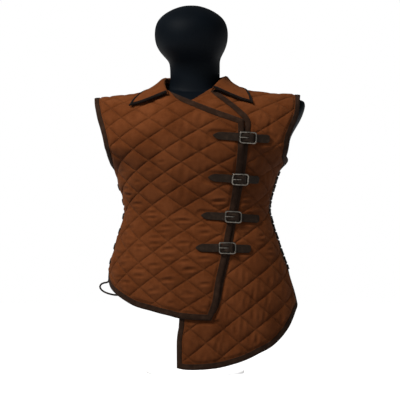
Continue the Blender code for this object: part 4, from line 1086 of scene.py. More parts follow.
class Finish(Enum):
    """Every finish of the object."""

    CLOTH = ClothFinish("red_brown_cotton", (0.156, 0.0440, 0.0118), (0.104, 0.0272, 0.0064))
    BINDING = TapeFinish("brown_twill_binding", (0.0270, 0.0125, 0.0066))
    # a near-black copy of the binding's colour: painted shade under the collar leaves' edges
    COLLAR_BINDING_PAINTED_SHADE = TapeFinish("collar_binding_painted_shade", (0.0062, 0.0034, 0.0024))
    SEAM = CordFinish("red_brown_thread", (0.200, 0.070, 0.024), 0.0009)
    THREAD = CordFinish("brown_thread", (0.050, 0.022, 0.010), 0.0009)
    LEATHER = LeatherFinish("dark_waxed_leather", (0.0185, 0.0108, 0.0066), (0.042, 0.025, 0.0155))
    METAL = MetalFinish("worn_nickel", (0.165, 0.148, 0.126), (0.046, 0.040, 0.034))
    LACE = CordFinish("dark_lacing_cord", (0.020, 0.012, 0.009))
    COVER = CoverFinish("black_knitted_cover", (0.0018, 0.0034, 0.0056))
    PAINT = PaintFinish("pale_satin_paint", (0.9, 0.9, 0.89))
    FLOOR = PaintFinish("light_box", (0.5, 0.5, 0.5), 0.95)


class Wardrobe:
    def __init__(self) -> None:
        """Starts with none made."""
        self.made: dict[Finish, bpy.types.Material] = {}

    def material(self, finish: Finish) -> bpy.types.Material:
        """The finish's material."""
        if finish not in self.made:
            self.made[finish] = finish.value.material()
        return self.made[finish]

    def dress(self, obj: bpy.types.Object, finish: Finish) -> bpy.types.Object:
        """Gives a piece its only material, and returns the piece."""
        obj.data.materials.clear()
        obj.data.materials.append(self.material(finish))
        return obj

    def put(self, obj: bpy.types.Object, finish: Finish, slot: str, node: str | None = None) -> bpy.types.Object:
        """Args:
            obj: The piece; it rides on the one body.
            finish: Its finish.
            slot: A material slot's name; not used.
            node: The node that it replaces, if any.

        Returns:
            The piece.
        """
        self.dress(obj, finish)
        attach(obj, "root")
        if node:
            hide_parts(node)
        return obj


WARDROBE = Wardrobe()


# ---------------------------------------------------------------- repeated pieces
class Stitch(NamedTuple):
    """A stitch's size in millimetres."""

    pitch: float
    length: float
    thick: float


SEAM_STITCH, EDGE_STITCH, TAPE_STITCH = Stitch(4.6, 3.9, 0.7), Stitch(4.6, 3.2, 0.75), Stitch(4.6, 3.2, 0.7)
STRAP_STITCH, COLLAR_STITCH = Stitch(3.6, 2.6, 0.6), Stitch(4.0, 2.8, 0.6)


class Repeater:
    """Geometry Nodes trees that set a small shape along lines or at points."""

    def __init__(self) -> None:
        """Makes both trees."""
        self.stitch, self.ring = self.stitch_tree(), self.ring_tree()

    @staticmethod
    def started(name: str, inputs: dict[str, float]) -> tuple[bpy.types.NodeTree, bpy.types.NodeOutputs]:
        """An empty tree with named inputs, and those inputs' sockets."""
        tree = bpy.data.node_groups.new(name, "GeometryNodeTree")
        tree.interface.new_socket("Geometry", in_out="INPUT", socket_type="NodeSocketGeometry")
        for key, value in inputs.items():
            tree.interface.new_socket(key, in_out="INPUT", socket_type="NodeSocketFloat").default_value = value
        tree.interface.new_socket("Material", in_out="INPUT", socket_type="NodeSocketMaterial")
        tree.interface.new_socket("Geometry", in_out="OUTPUT", socket_type="NodeSocketGeometry")
        return tree, tree.nodes.new("NodeGroupInput").outputs

    @staticmethod
    def ended(tree: bpy.types.NodeTree, given: bpy.types.NodeOutputs, points: Socket,
              shape: Socket, way: Socket) -> bpy.types.NodeTree:
        """Sets the shape at the points, turned to a direction, and gives it the material."""
        turn = wired(tree, "FunctionNodeAlignRotationToVector", {"Vector": way}, axis="Z")
        put = wired(tree, "GeometryNodeInstanceOnPoints", {"Points": points, "Instance": shape, "Rotation": turn})
        real = wired(tree, "GeometryNodeRealizeInstances", {0: put})
        paint = wired(tree, "GeometryNodeSetMaterial", {"Geometry": real, "Material": given["Material"]})
        wired(tree, "NodeGroupOutput", {"Geometry": paint})
        return tree

    def stitch_tree(self) -> bpy.types.NodeTree:
        """Long round stitches laid end to end along lines."""
        tree, given = self.started("stitch_rows", {"Pitch": 0.006, "Length": 0.0042, "Thickness": 0.0009})
        curve = wired(tree, "GeometryNodeMeshToCurve", {"Mesh": given["Geometry"]})
        spaced = wired(tree, "GeometryNodeResampleCurve", {"Curve": curve, "Length": given["Pitch"]}, mode="LENGTH")
        ball = wired(tree, "GeometryNodeMeshUVSphere", {"Segments": 6, "Rings": 4, "Radius": 0.5})
        thick = given["Thickness"]
        size = wired(tree, "ShaderNodeCombineXYZ", {"X": thick, "Y": thick, "Z": given["Length"]})
        shape = wired(tree, "GeometryNodeTransform", {"Geometry": ball, "Scale": size})
        return self.ended(tree, given, spaced, shape, wired(tree, "GeometryNodeInputTangent"))

    def ring_tree(self) -> bpy.types.NodeTree:
        """Rolled rings at points, turned to each point's own direction."""
        tree, given = self.started("eyelet_rings", {"Radius": 0.003, "Thickness": 0.0016})
        half = wired(tree, "ShaderNodeMath", {0: given["Thickness"], 1: 0.5}, operation="MULTIPLY")
        circle, profile = (
            wired(tree, "GeometryNodeCurvePrimitiveCircle", {"Resolution": count, "Radius": radius})
            for count, radius in ((16, given["Radius"]), (8, half)))
        ring = wired(tree, "GeometryNodeCurveToMesh", {"Curve": circle, "Profile Curve": profile})
        points = wired(tree, "GeometryNodeMeshToPoints", {"Mesh": given["Geometry"]})
        way = wired(tree, "GeometryNodeInputNamedAttribute", {"Name": "way"}, data_type="FLOAT_VECTOR")
        return self.ended(tree, given, points, ring, way)

    @staticmethod
    def made(name: str, mesh: bpy.types.Mesh, tree: bpy.types.NodeTree, values: dict[str, float], finish: Finish,
             slot: str) -> bpy.types.Object:
        """Args:
            name: The piece's name.
            mesh: The lines or points.
            tree: The tree.
            values: Its inputs in millimetres.
            finish: The piece's finish.
            slot: A material slot's name, passed on to Wardrobe.put, which doesn't use it.

        Returns:
            The piece.
        """
        source = linked(mesh.name, mesh)
        modifier = source.modifiers.new("repeat", "NODES")
        modifier.node_group = tree
        keys = {i.name: i.identifier for i in tree.interface.items_tree if i.in_out == "INPUT"}
        for key, value in values.items():
            modifier[keys[key]] = value * MM
        modifier[keys["Material"]] = WARDROBE.material(finish)
        plain = baked(source)
        plain.name = name
        obj = linked(name, plain)
        bpy.data.objects.remove(source)
        if not plain.uv_layers.get("flat"):
            at = mesh_points(plain) / MM
            add_uv(obj, np.stack([at[:, 0] + at[:, 1], at[:, 2]], axis=1))
        return WARDROBE.put(obj, finish, slot)

    def stitches(self, name: str, lines: Sequence[np.ndarray], finish: Finish, slot: str,
                 size: Stitch) -> bpy.types.Object:
        """Rows of stitches, as one plain mesh.

        Args:
            name: The piece's name.
            lines: Lines in millimetres, each n by 3.
            finish: The thread's finish.
            slot: A material slot's name, passed on to Wardrobe.put, which doesn't use it.
            size: A stitch's size.

        Returns:
            The piece.
        """
        points, edges = [], []
        for line in lines:
            shift = len(points)
            points.extend((np.asarray(line) * MM).tolist())
            edges.extend((shift + k, shift + k + 1) for k in range(len(line) - 1))
        mesh = bpy.data.meshes.new(name + "_rows")
        mesh.from_pydata(points, edges, [])
        values = {"Pitch": size.pitch, "Length": size.length, "Thickness": size.thick}
        return self.made(name, mesh, self.stitch, values, finish, slot)

    def rings(self, name: str, places: np.ndarray, ways: np.ndarray, radius: float, thick: float, finish: Finish,
              slot: str) -> bpy.types.Object:
        """Eyelet rings, as one plain mesh.

        Args:
            name: The piece's name.
            places: Their middles in millimetres, n by 3.
            ways: The directions that they face, n by 3.
            radius: From the middle to the rolled edge's middle, in millimetres.
            thick: The rolled edge's thickness.
            finish: Their finish.
            slot: A material slot's name, passed on to Wardrobe.put, which doesn't use it.

        Returns:
            The piece.
        """
        mesh = bpy.data.meshes.new(name + "_points")
        mesh.from_pydata((places * MM).tolist(), [], [])
        way = mesh.attributes.new("way", "FLOAT_VECTOR", "POINT")
        way.data.foreach_set("vector", np.asarray(ways, np.float32).ravel())
        return self.made(name, mesh, self.ring, {"Radius": radius, "Thickness": thick}, finish, slot)


REPEATER = Repeater()


# ---------------------------------------------------------------- quilted panels
@dataclass(frozen=True)
class Quilt:
    """The diamonds of a panel, whose rows bend a little, and how deep the falling seams pull.

    Crossing d diamonds round and s up lies at the sums of the columns times 1, d, s, d*d, d*s and s*s.
    """

    round: tuple[float, float, float, float, float, float]
    up: tuple[float, float, float, float, float, float]
    falling: float = 1.0

    @property
    def wide(self) -> float:
        """A diamond's width by the middle crossing."""
        return self.round[1]

    @property
    def tall(self) -> float:
        """A diamond's height by the middle crossing."""
        return self.up[2]

    def crossing(self, d: np.ndarray, s: np.ndarray) -> np.ndarray:
        """Flat points of the lattice, d diamonds round and s up."""
        terms = (np.ones_like(d), d, s, d * d, d * s, s * s)
        return np.stack([sum(c * t for c, t in zip(row, terms)) for row in (self.round, self.up)], axis=1)

    def cell(self, uv: np.ndarray) -> tuple[np.ndarray, np.ndarray]:
        """Places in the lattice, counted along its two families of seams."""
        d, s = np.zeros(len(uv)), np.zeros(len(uv))
        for _ in range(12):
            off = uv - self.crossing(d, s)
            d, s = d + off[:, 0] / self.wide, s + off[:, 1] / self.tall
        return s + d, s - d

    def back(self, a: np.ndarray, b: np.ndarray) -> np.ndarray:
        """Flat points from lattice places."""
        return self.crossing((a - b) / 2, (a + b) / 2)

    def puff(self, a: np.ndarray, b: np.ndarray) -> np.ndarray:
        """The padding's rise, from 0 in a rising seam to 1 in a diamond's middle."""
        fa = 1 - np.abs(2 * (a % 1.0) - 1) ** 4.0
        fb = 1 - np.abs(2 * (b % 1.0) - 1) ** 3.2
        return fb * (1 - self.falling + self.falling * fa)

    def valley(self, a: np.ndarray, b: np.ndarray) -> np.ndarray:
        """1 on a seam, falling to 0 beside it."""
        da = np.abs((a + 0.5) % 1.0 - 0.5)
        db = np.abs((b + 0.5) % 1.0 - 0.5)
        return np.maximum(np.exp(-(db / 0.038) ** 2), 0.9 * np.exp(-(da / 0.036) ** 2))


OVER_QUILT = Quilt((-102.0, 75.05, 1.09, 4.25, -1.18, 0.39), (564.4, -1.63, 51.29, -0.93, 0.97, -0.62))
UNDER_QUILT = Quilt((44.6, 84.3, 3.37, -0.83, -0.45, -0.38), (142.4, -1.38, 65.3, -0.03, -1.61, -0.51), 0.9)
BACK_QUILT = Quilt((0.0, 80.0, 0.0, 0.0, 0.0, 0.0), (560.0, 0.0, 55.2, 0.0, 0.0, 0.0))


@dataclass(frozen=True)
class PuckerZone:
    """A part of a panel where the padding puckers into short folds, one or more in each diamond."""

    u: tuple[float, float]
    v: tuple[float, float]
    angle: float
    per_cell: int
    length: float
    width: float
    depth: float
    seed: int

    def folds(self, quilt: Quilt) -> list[tuple[float, float, float, float, float, float]]:
        """Uneven folds for each diamond of the zone.

        Args:
            quilt: The panel's diamonds.

        Returns:
            Rows of u, v, angle, length, width and depth.
        """
        rng = np.random.default_rng(self.seed)
        rows = []
        a, b = quilt.cell(np.array([(x, y) for x in self.u for y in self.v]))
        for i in range(math.floor(a.min()), math.ceil(a.max()) + 1):
            for j in range(math.floor(b.min()), math.ceil(b.max()) + 1):
                middle = quilt.back(np.array([i + 0.5]), np.array([j + 0.5]))[0]
                if not (self.u[0] < middle[0] < self.u[1] and self.v[0] < middle[1] < self.v[1]):
                    continue
                turn, across = math.radians(self.angle), math.radians(self.angle + 90)
                for k in range(self.per_cell):
                    if rng.random() < 0.18:
                        continue
                    off = (k - (self.per_cell - 1) / 2) * self.width * 1.9 + rng.normal(0, self.width * 0.35)
                    slide = rng.normal(0, quilt.wide * 0.07)
                    rows.append((
                        middle[0] + math.cos(across) * off + math.cos(turn) * slide,
                        middle[1] + math.sin(across) * off + math.sin(turn) * slide,
                        self.angle + rng.normal(0, 7), self.length * rng.uniform(0.6, 1.2),
                        self.width * rng.uniform(0.8, 1.25), self.depth * rng.uniform(0.55, 1.25)))
        return rows


def creased(uv: np.ndarray, rows: Sequence[Sequence[float]]) -> np.ndarray:
    """The depth of all creases at flat points.

    Args:
        uv: Flat points, n by 2.
        rows: Rows of u, v, angle in degrees, length, width and depth.

    Returns:
        The n depths; a negative one is a ridge.
    """
    total = np.zeros(len(uv))
    for u, v, angle, length, width, depth in rows:
        near = (np.abs(uv[:, 0] - u) < length + 3 * width) & (np.abs(uv[:, 1] - v) < length + 3 * width)
        if not near.any():
            continue
        d = uv[near] - (u, v)
        c, s = math.cos(math.radians(angle)), math.sin(math.radians(angle))
        along, across = d[:, 0] * c + d[:, 1] * s, -d[:, 0] * s + d[:, 1] * c
        across = across + 0.06 * along ** 2 / max(8.0, length)
        ends = np.clip(1 - (np.abs(along) / (length / 2)) ** 2, 0, 1)
        t = across / (width / 2)
        total[near] += depth * ends * (np.exp(-t * t) - 0.55 * np.exp(-((np.abs(t) - 1.9) / 0.8) ** 2))
    return total


@dataclass
class QuiltedPanel:
    """One quilted piece of the garment, with its seams' stitches."""

    name: str
    cut: Cut
    quilt: Quilt
    base: Callable[[np.ndarray], np.ndarray]
    calm: Callable[[np.ndarray], np.ndarray]
    hidden: Callable[[np.ndarray], np.ndarray]
    creases: Sequence[Sequence[float]] = ()
    zones: Sequence[PuckerZone] = ()
    under_binding: float = 3.0
    edge_row: float = 4.0
    full: float = PUFF * 0.78
    deepest: float = 1.3
    steps: Sequence[float] = (0.0, 0.03, 0.075, 0.14, 0.23, 0.34, 0.45, 0.55, 0.66, 0.77, 0.86, 0.925, 0.97)

    def __post_init__(self) -> None:
        """Works out the rim and the rows of creases."""
        self.rim = [tuple(p) for p in self.cut.drawn_in(self.under_binding)]
        self.edge = [tuple(p) for p in self.cut.drawn_in(BIND_W + EDGE_GAP)]
        self.rows = [(*BODY.flat(self.cut.face, x, z), *rest) for x, z, *rest in self.creases]
        for zone in self.zones:
            self.rows += zone.folds(self.quilt)

    def relief(self, uv: np.ndarray) -> np.ndarray:
        """How freely the padding rises, from 0 at an edge or under a strap to 1."""
        d = distance_to(uv, self.edge, True)
        return smooth(np.where(inside(uv, self.edge), d, 0.0) / 8.0) * self.calm(uv)

    def height(self, uv: np.ndarray) -> tuple[np.ndarray, np.ndarray, np.ndarray]:
        """The outer face's form.

        Args:
            uv: Flat points, n by 2.

        Returns:
            Heights over the body, the painted shade of seams, sewn rows and folds, and how far each point is a crest.
        """
        a, b = self.quilt.cell(uv)
        free = self.relief(uv)
        puff, valley = self.quilt.puff(a, b), self.quilt.valley(a, b)
        edge = distance_to(uv, self.edge, True)
        within = inside(uv, self.edge)
        sewn = np.exp(-((edge - self.edge_row) / 1.3) ** 2) * within
        fold = np.clip(creased(uv, self.rows), -self.deepest, 3.2)
        rise = self.full * puff * free - fold * (0.25 + 0.75 * free) * smooth(edge / 6.0) * within
        rise = np.maximum(rise, -self.deepest) - 0.7 * valley * smooth(edge / 2.0) * within - 0.35 * sewn
        under = np.where(within, 0.0, -0.25 * smooth(edge / 2.0))
        # painted shade: seams, the sewn edge rows and folds are marked for darker colour
        deep = np.clip(np.maximum(valley * within, 0.7 * sewn) + np.clip(fold * 0.2, 0, 0.5) * free, 0, 1)
        crest = np.clip((puff * free - 0.55) * 1.6 - fold * 0.4, 0, 1)
        return self.base(uv[:, 0]) + WALL + rise + under, deep, crest

    def grid(self) -> np.ndarray:
        """Flat points of the lattice that lie well inside the rim."""
        corners = np.array(self.rim)
        low, high = corners.min(axis=0), corners.max(axis=0)
        a, b = self.quilt.cell(corners)
        shares = np.array(self.steps)
        ka = np.concatenate([k + shares for k in range(math.floor(a.min()), math.ceil(a.max()) + 1)])
        kb = np.concatenate([k + shares for k in range(math.floor(b.min()), math.ceil(b.max()) + 1)])
        ga, gb = np.meshgrid(ka, kb)
        uv = self.quilt.back(ga.ravel(), gb.ravel())
        uv = uv[(uv >= low).all(axis=1) & (uv <= high).all(axis=1)]
        return uv[inside(uv, self.rim) & (distance_to(uv, self.rim, True) > 1.3)]

    @staticmethod
    def filled(rim: Sequence[Point], within: np.ndarray) -> tuple[np.ndarray, np.ndarray]:
        """Triangles over a rim's inside.

        Args:
            rim: The rim's flat points, which stay first and in order.
            within: Flat points inside it.

        Returns:
            The flat points and the triangles.
        """
        edges = [(i, (i + 1) % len(rim)) for i in range(len(rim))]
        points = [Vector(p) for p in np.concatenate([np.array(rim), within])]
        made = geometry.delaunay_2d_cdt(points, edges, [], 1, 1e-4)
        thirds = [(f[0], f[k], f[k + 1]) for f in made[2] for k in range(1, len(f) - 1)]
        return np.array([tuple(v) for v in made[0]]), np.array(thirds)

    @staticmethod
    def halved(flat: np.ndarray, faces: np.ndarray) -> tuple[np.ndarray, np.ndarray]:
        """Each triangle cut into four at the middles of its edges."""
        n = len(flat)
        ends = np.sort(np.concatenate([faces[:, [0, 1]], faces[:, [1, 2]], faces[:, [2, 0]]]), axis=1)
        edges, where = np.unique(ends, axis=0, return_inverse=True)
        ab, bc, ca = (n + w for w in np.split(where.ravel(), 3))
        a, b, c = faces.T
        made = [(a, ab, ca), (ab, b, bc), (ca, bc, c), (ab, bc, ca)]
        return np.concatenate([flat, flat[edges].mean(axis=1)]), np.concatenate([np.stack(m, axis=1) for m in made])

    def shell(self) -> bpy.types.Object:
        """The panel: a quilted outer face, a plain inside and a rim between them."""
        rim = even(self.rim + [self.rim[0]], 4.0)[:-1]
        flat, faces = self.halved(*self.filled(rim, self.grid()))
        ends = np.concatenate([faces[:, [0, 1]], faces[:, [1, 2]], faces[:, [2, 0]]])
        known = {(int(i), int(j)) for i, j in ends}
        after = {i: j for i, j in known if (j, i) not in known}
        ring = [0]
        while after[ring[-1]] != 0:
            ring.append(after[ring[-1]])
        sparse = self.grid()[::17]
        plain, inner = self.filled([tuple(p) for p in flat[ring]], sparse[distance_to(sparse, self.rim, True) > 6])
        high, deep, crest = self.height(flat)
        n, m = len(flat), len(ring)
        points = np.concatenate([
            BODY.out(self.cut.face, flat[:, 0], flat[:, 1], high),
            BODY.out(self.cut.face, plain[:, 0], plain[:, 1], self.base(plain[:, 0]) + 0.15)])
        wall = [(ring[(k + 1) % m], ring[k], n + k, n + (k + 1) % m) for k in range(m)]
        obj = make_mesh(self.name + "_quilting", points, faces.tolist() + (n + inner[:, ::-1]).tolist() + wall)
        add_uv(obj, np.concatenate([flat, plain]))
        # the "valley" value carries the painted shade of seams, sewn rows and folds
        add_value(obj, "valley", np.concatenate([deep, np.zeros(len(plain))]))
        add_value(obj, "crest", np.concatenate([crest, np.zeros(len(plain))]))
        face_outward(obj)
        return WARDROBE.put(obj, Finish.CLOTH, "quilted_cloth", self.name)

    def seam_lines(self) -> list[np.ndarray]:
        """The stitched seams that show, as lines on the outer face."""
        a, b = self.quilt.cell(np.array(self.edge))
        lines = []
        for family in (0, 1):
            lead, run = (a, b) if family == 0 else (b, a)
            t = np.arange(run.min() - 0.1, run.max() + 0.1, 2.5 / math.hypot(self.quilt.wide / 2, self.quilt.tall / 2))
            for k in range(math.ceil(lead.min()), math.floor(lead.max()) + 1):
                fixed = np.full_like(t, float(k))
                uv = self.quilt.back(fixed, t) if family == 0 else self.quilt.back(t, fixed)
                keep = inside(uv, self.edge) & ~self.hidden(uv)
                lines.extend(self.runs(uv, keep))
        return lines

    def runs(self, uv: np.ndarray, keep: np.ndarray, over: float = 0.12) -> list[np.ndarray]:
        """The kept stretches of a flat line, on the outer face."""
        found, start = [], None
        for i, ok in enumerate(np.append(keep, False)):
            if ok and start is None:
                start = i
            if not ok and start is not None:
                if i - start > 3:
                    part = uv[start:i]
                    height = self.height(part)[0]
                    found.append(BODY.out(self.cut.face, part[:, 0], part[:, 1], height + over))
                start = None
        return found

    def edge_lines(self) -> list[np.ndarray]:
        """The row of stitches beside the binding, on the cloth."""
        ring = self.cut.drawn_in(BIND_W + EDGE_GAP + self.edge_row)
        owners = self.cut.outline.owner
        made = []
        for bound, part in groupby(enumerate(ring), lambda q: bool({owners[q[0]], owners[q[0] - 1]} & self.cut.bound)):
            if not bound:
                continue
            uv = np.array(even([tuple(p) for _, p in part], 3.0))
            keep = inside(uv, self.edge) & ~self.hidden(uv) & (self.calm(uv) > 0.02)
            made.extend(self.runs(uv, keep))
        return made

    def flat_area(self) -> tuple[tuple[float, float], float]:
        """The cut's width and length, and its area, in metres."""
        p = np.array(self.cut.outline.points)
        q = np.roll(p, -1, axis=0)
        size = (p.max(axis=0) - p.min(axis=0)) * MM
        return (float(size[0]), float(size[1])), float(abs((p[:, 0] * q[:, 1] - q[:, 0] * p[:, 1]).sum()) / 2) * MM * MM

    def build(self, trimmings: Sequence[bpy.types.Object]) -> None:
        """Args:
            trimmings: The bindings sewn to it; not used.
        """
        shell = self.shell()
        lines = self.seam_lines() + self.edge_lines()
        thread = REPEATER.stitches(self.name + "_stitches", lines, Finish.SEAM, "quilted_cloth", SEAM_STITCH)
        flat, area = self.flat_area()
        sizes = len(shell.data.polygons), len(thread.data.polygons)
        log.info("%s: %d faces, %d stitch faces, %.3f m2", self.name, *sizes, area)


# ---------------------------------------------------------------- bindings
@dataclass
class Binding:
    """A folded strip that wraps an edge, with a row of stitches near its inner edge."""

    name: str
    stations: Sequence[tuple[int, Point, Point]]
    base: Callable[[np.ndarray], np.ndarray] = level_base
    pitch: float = 4.0
    stitch_in: float = 0.13
    stitch_over: float = 4.16
    outer: Sequence[Point] = (
        (0.0, 3.05), (0.015, 3.7), (0.07, 4.05), (0.2, 4.0), (0.45, 4.35), (0.75, 4.2), (0.92, 3.5), (1.0, 2.3),
        (1.01, 1.4), (0.98, 0.4), (0.88, -0.3), (0.6, -0.55), (0.2, -0.55), (0.02, -0.45), (0.0, -0.05))
    inner: Sequence[Point] = ((0.1, 0.05), (0.6, 0.1), (0.86, 0.4), (0.92, 1.4), (0.88, 2.5), (0.6, 3.1), (0.1, 3.02))

    def path(self) -> list[tuple[int, np.ndarray, np.ndarray]]:
        """The stations with more set between them."""
        made = []
        for k in range(len(self.stations) - 1):
            f0, o0, i0 = self.stations[k]
            f1, o1, i1 = self.stations[k + 1]
            o0, i0, o1, i1 = (np.array(p, float) for p in (o0, i0, o1, i1))
            if f0 != f1:
                made.append((f0, o0, i0))
                continue
            n = max(1, round(max(np.linalg.norm(o1 - o0), np.linalg.norm(i1 - i0)) / self.pitch))
            made.extend((f0, o0 + (o1 - o0) * t / n, i0 + (i1 - i0) * t / n) for t in range(n))
        f, o, i = self.stations[-1]
        made.append((f, np.array(o, float), np.array(i, float)))
        return made

    def build(self) -> bpy.types.Object:
        """Makes the strip and its stitches, which replace the solid of its name."""
        profile = np.array(list(self.outer) + list(self.inner))
        path = self.path()
        rings, row = [], []
        for (face, o, i), along in zip(path, lengths(np.array([(o + i) / 2 for _, o, i in path]))):
            q = profile[:, 0]
            u, v = i[0] + (o[0] - i[0]) * q, i[1] + (o[1] - i[1]) * q
            ripple = 0.16 * math.sin(along / 2.9) + 0.12 * math.sin(along / 7.3 + 1)
            high = profile[:, 1] + ripple * np.clip(profile[:, 1] - 3.2, 0, 1) * (q < 0.6)
            base = self.base(u) if face < 0 else np.zeros_like(u)
            rings.append(BODY.out(face, u, v, high + base))
            s = i + (o - i) * self.stitch_in
            over = self.stitch_over + (float(self.base(s[0])) if face < 0 else 0.0)
            row.append(BODY.out(face, s[0], s[1], over)[0])
        strip = WARDROBE.put(loft(self.name + "_tape", rings), Finish.BINDING, "binding", self.name)
        REPEATER.stitches(self.name + "_stitches", [np.array(row)], Finish.THREAD, "binding", EDGE_STITCH)
        log.info("%s: %d faces", self.name, len(strip.data.polygons))
        return strip


# ---------------------------------------------------------------- the garment
class Garment:
    """The three quilted panels and the bindings round them."""

    def __init__(self) -> None:
        """Cuts the pieces."""
        self.over = Cut(Face.FRONT, over_outline(), {"side", "hem", "closing", "neckline", "armhole"})
        self.under = Cut(Face.FRONT, under_outline(), {"edge", "hem", "side", "armhole"})
        self.back = Cut(Face.BACK, back_outline(), {"side_r", "hem", "side_l", "arm_l", "arm_r"})
        self.closing, self.neckline = self.over.edge("closing"), self.over.edge("neckline")
        self.tape = seen(-1, TAPE_LINE, 8)
        self.straps = [[BODY.flat(-1, r[k], r[k + 1]) for k in (0, 2, 4)] for r in STRAP_ROWS]

    def strap_calm(self, uv: np.ndarray) -> np.ndarray:
        """0 under the straps, rising to 1 beside them."""
        d = np.min([distance_to(uv, s) for s in self.straps], axis=0)
        return smooth((d - STRAP_HALF) / CALM_EASE)

    @staticmethod
    def collar_calm(face: int, uv: np.ndarray) -> np.ndarray:
        """0 under the collar, rising to 1 beside it."""
        p = BODY.place(face, uv[:, 0], uv[:, 1])
        away = np.hypot(p[:, 0], p[:, 1]) - COLLAR_REACH
        return np.where(p[:, 2] > COLLAR_LOW, smooth(away / (2 * CALM_EASE)), 1.0)

    def cover(self, uv: np.ndarray) -> np.ndarray:
        """How far each flat point lies past the overlapping front's edge; below 0 is under it."""
        table = sorted((q[1], q[0]) for q in self.closing)
        beside = uv[:, 0] - np.interp(uv[:, 1], [t[0] for t in table], [t[1] for t in table])
        line = sorted((q[0], q[1]) for q in self.neckline)
        up = uv[:, 1] > np.interp(uv[:, 0], [t[0] for t in line], [t[1] for t in line])
        top = np.where((uv[:, 0] > self.closing[-1][0]) | up, distance_to(uv, self.neckline), -1.0)
        below = np.where(uv[:, 0] < self.closing[0][0] + 20, self.closing[0][1] - uv[:, 1], 40.0)
        return np.where(uv[:, 1] >= self.closing[-1][1], top, np.where(uv[:, 1] > self.closing[0][1], beside, below))

    def calm_over(self, uv: np.ndarray) -> np.ndarray:
        """Where the overlapping front's padding is pressed flat."""
        return self.strap_calm(uv) * self.collar_calm(-1, uv)

    def calm_under(self, uv: np.ndarray) -> np.ndarray:
        """Where the long front's padding is pressed flat."""
        tape = smooth((distance_to(uv, self.tape) - TAPE_HALF) / CALM_EASE)
        return smooth((self.cover(uv) - 4) / 9) * tape * self.strap_calm(uv) * self.collar_calm(-1, uv)

    def calm_back(self, uv: np.ndarray) -> np.ndarray:
        """Where the back's padding is pressed flat."""
        return self.collar_calm(1, uv)

    def build(self) -> None:
        """Makes the bindings, the panels and the neck tape."""
        over, under, back = self.over, self.under, self.back
        edges = [b.build() for b in (
            Binding("bind_over", over.strip("side", "neckline"), lift),
            Binding("bind_under", under.strip("edge", "side")), Binding("bind_back", back.strip("side_r", "side_l")),
            Binding("bind_arm_right", over.strip("armhole")[::-1] + back.strip("arm_r")[1:]),
            Binding("bind_arm_left", under.strip("armhole") + back.strip("arm_l")[::-1][1:]))]
        never = lambda uv: np.zeros(len(uv), bool)
        QuiltedPanel("front_over", over, OVER_QUILT, lift, self.calm_over, never, OVER_CREASES,
                     OVER_ZONES).build([edges[0], edges[3]])
        QuiltedPanel("front_under", under, UNDER_QUILT, level_base, self.calm_under, lambda uv: self.cover(uv) < -4,
                     UNDER_CREASES, UNDER_ZONES).build([edges[1], edges[4]])
        QuiltedPanel("back", back, BACK_QUILT, level_base, self.calm_back, never, BACK_CREASES,
                     BACK_ZONES).build([edges[2]])
        self.build_tape()

    def build_tape(self) -> None:
        """The tape that runs from the collar down beside the closing."""
        rings, row = [], []
        line = np.array(even(self.tape, 4.0))
        section, (stitch, over) = np.array(TAPE_SECTION), TAPE_STITCH_AT
        for k, p in enumerate(line):
            d = line[min(len(line) - 1, k + 1)] - line[max(0, k - 1)]
            n = np.array([-d[1], d[0]]) / np.linalg.norm(d)
            flat = p + section[:, :1] * n
            rings.append(BODY.out(-1, flat[:, 0], flat[:, 1], section[:, 1]))
            row.append(BODY.out(-1, *(p + n * stitch), over)[0])
        tape = WARDROBE.put(loft("tape_strip", rings), Finish.BINDING, "binding", "tape")
        REPEATER.stitches("tape_stitches", [np.array(row)], Finish.THREAD, "binding", TAPE_STITCH)


OVER_CREASES = [  # x and z of the middle, the angle in degrees, then length, width and depth in millimetres
    (-130, 409, 0, 38, 7, 1.9), (-94, 387, 4, 38, 7, 1.8), (-94, 374, 0, 34, 6.5, 1.6),
    (-24, 368, 2, 40, 7, 1.9), (-10, 367, 0, 36, 6.5, 1.4), (65, 416, 3, 42, 8, 2.7),
    (-58, 353, 2, 36, 7, 1.8), (28, 353, 3, 36, 7, 1.8), (-66, 339, 0, 36, 6.5, 1.6),
    (33, 337, 4, 36, 7, 1.9), (-86, 327, 0, 38, 7, 1.8), (-86, 312, 2, 36, 6.5, 1.7),
    (-17, 313, 3, 40, 7, 2.1), (-122, 306, -3, 36, 7, 1.8), (-53, 299, 3, 43, 8, 2.7),
    (-53, 281, 0, 38, 7, 1.7), (-15, 270, 3, 38, 7, 1.9), (-86, 261, 2, 40, 7, 1.9),
    (-2, 251, 4, 43, 8, 2.7), (-124, 252, -2, 38, 7, 1.9), (-124, 236, 0, 36, 6.5, 1.7),
    (-53, 227, 4, 43, 8, 2.7), (31, 276, 4, 36, 7, 1.8), (35, 217, 3, 34, 7, 1.8),
    (-155, 221, -4, 36, 7, 1.8), (-86, 201, 3, 38, 7, 1.9), (-5, 192, 2, 38, 7, 1.9),
    (-18, 600, 88, 60, 14, 1.1), (-16, 545, 91, 56, 13, 1.2), (-18, 480, 90, 44, 13, 1.1),
    (-18, 436, 88, 36, 12, 1.0), (22, 606, 85, 44, 12, 1.0), (26, 540, 88, 48, 13, 1.1),
    (24, 490, 92, 36, 12, 0.9), (-34, 592, 83, 30, 11, 0.8), (-134, 617, 80, 36, 12, 0.8),
    (-150, 350, 6, 44, 8, 1.6), (-160, 330, -4, 40, 8, 1.5), (-156, 395, 8, 40, 8, 1.4),
    (-176, 290, -10, 40, 8, 1.5), (66, 330, 2, 30, 7, 1.3), (62, 296, 4, 30, 7, 1.3),
]
OVER_ZONES = [
    PuckerZone((-280, -170), (230, 440), 0.0, 2, 36, 6.5, 1.6, 11),
    PuckerZone((-260, 60), (160, 205), 3.0, 1, 34, 7.0, 1.3, 12),
    PuckerZone((-200, -40), (425, 520), 4.0, 1, 28, 7.0, 0.9, 13),
]
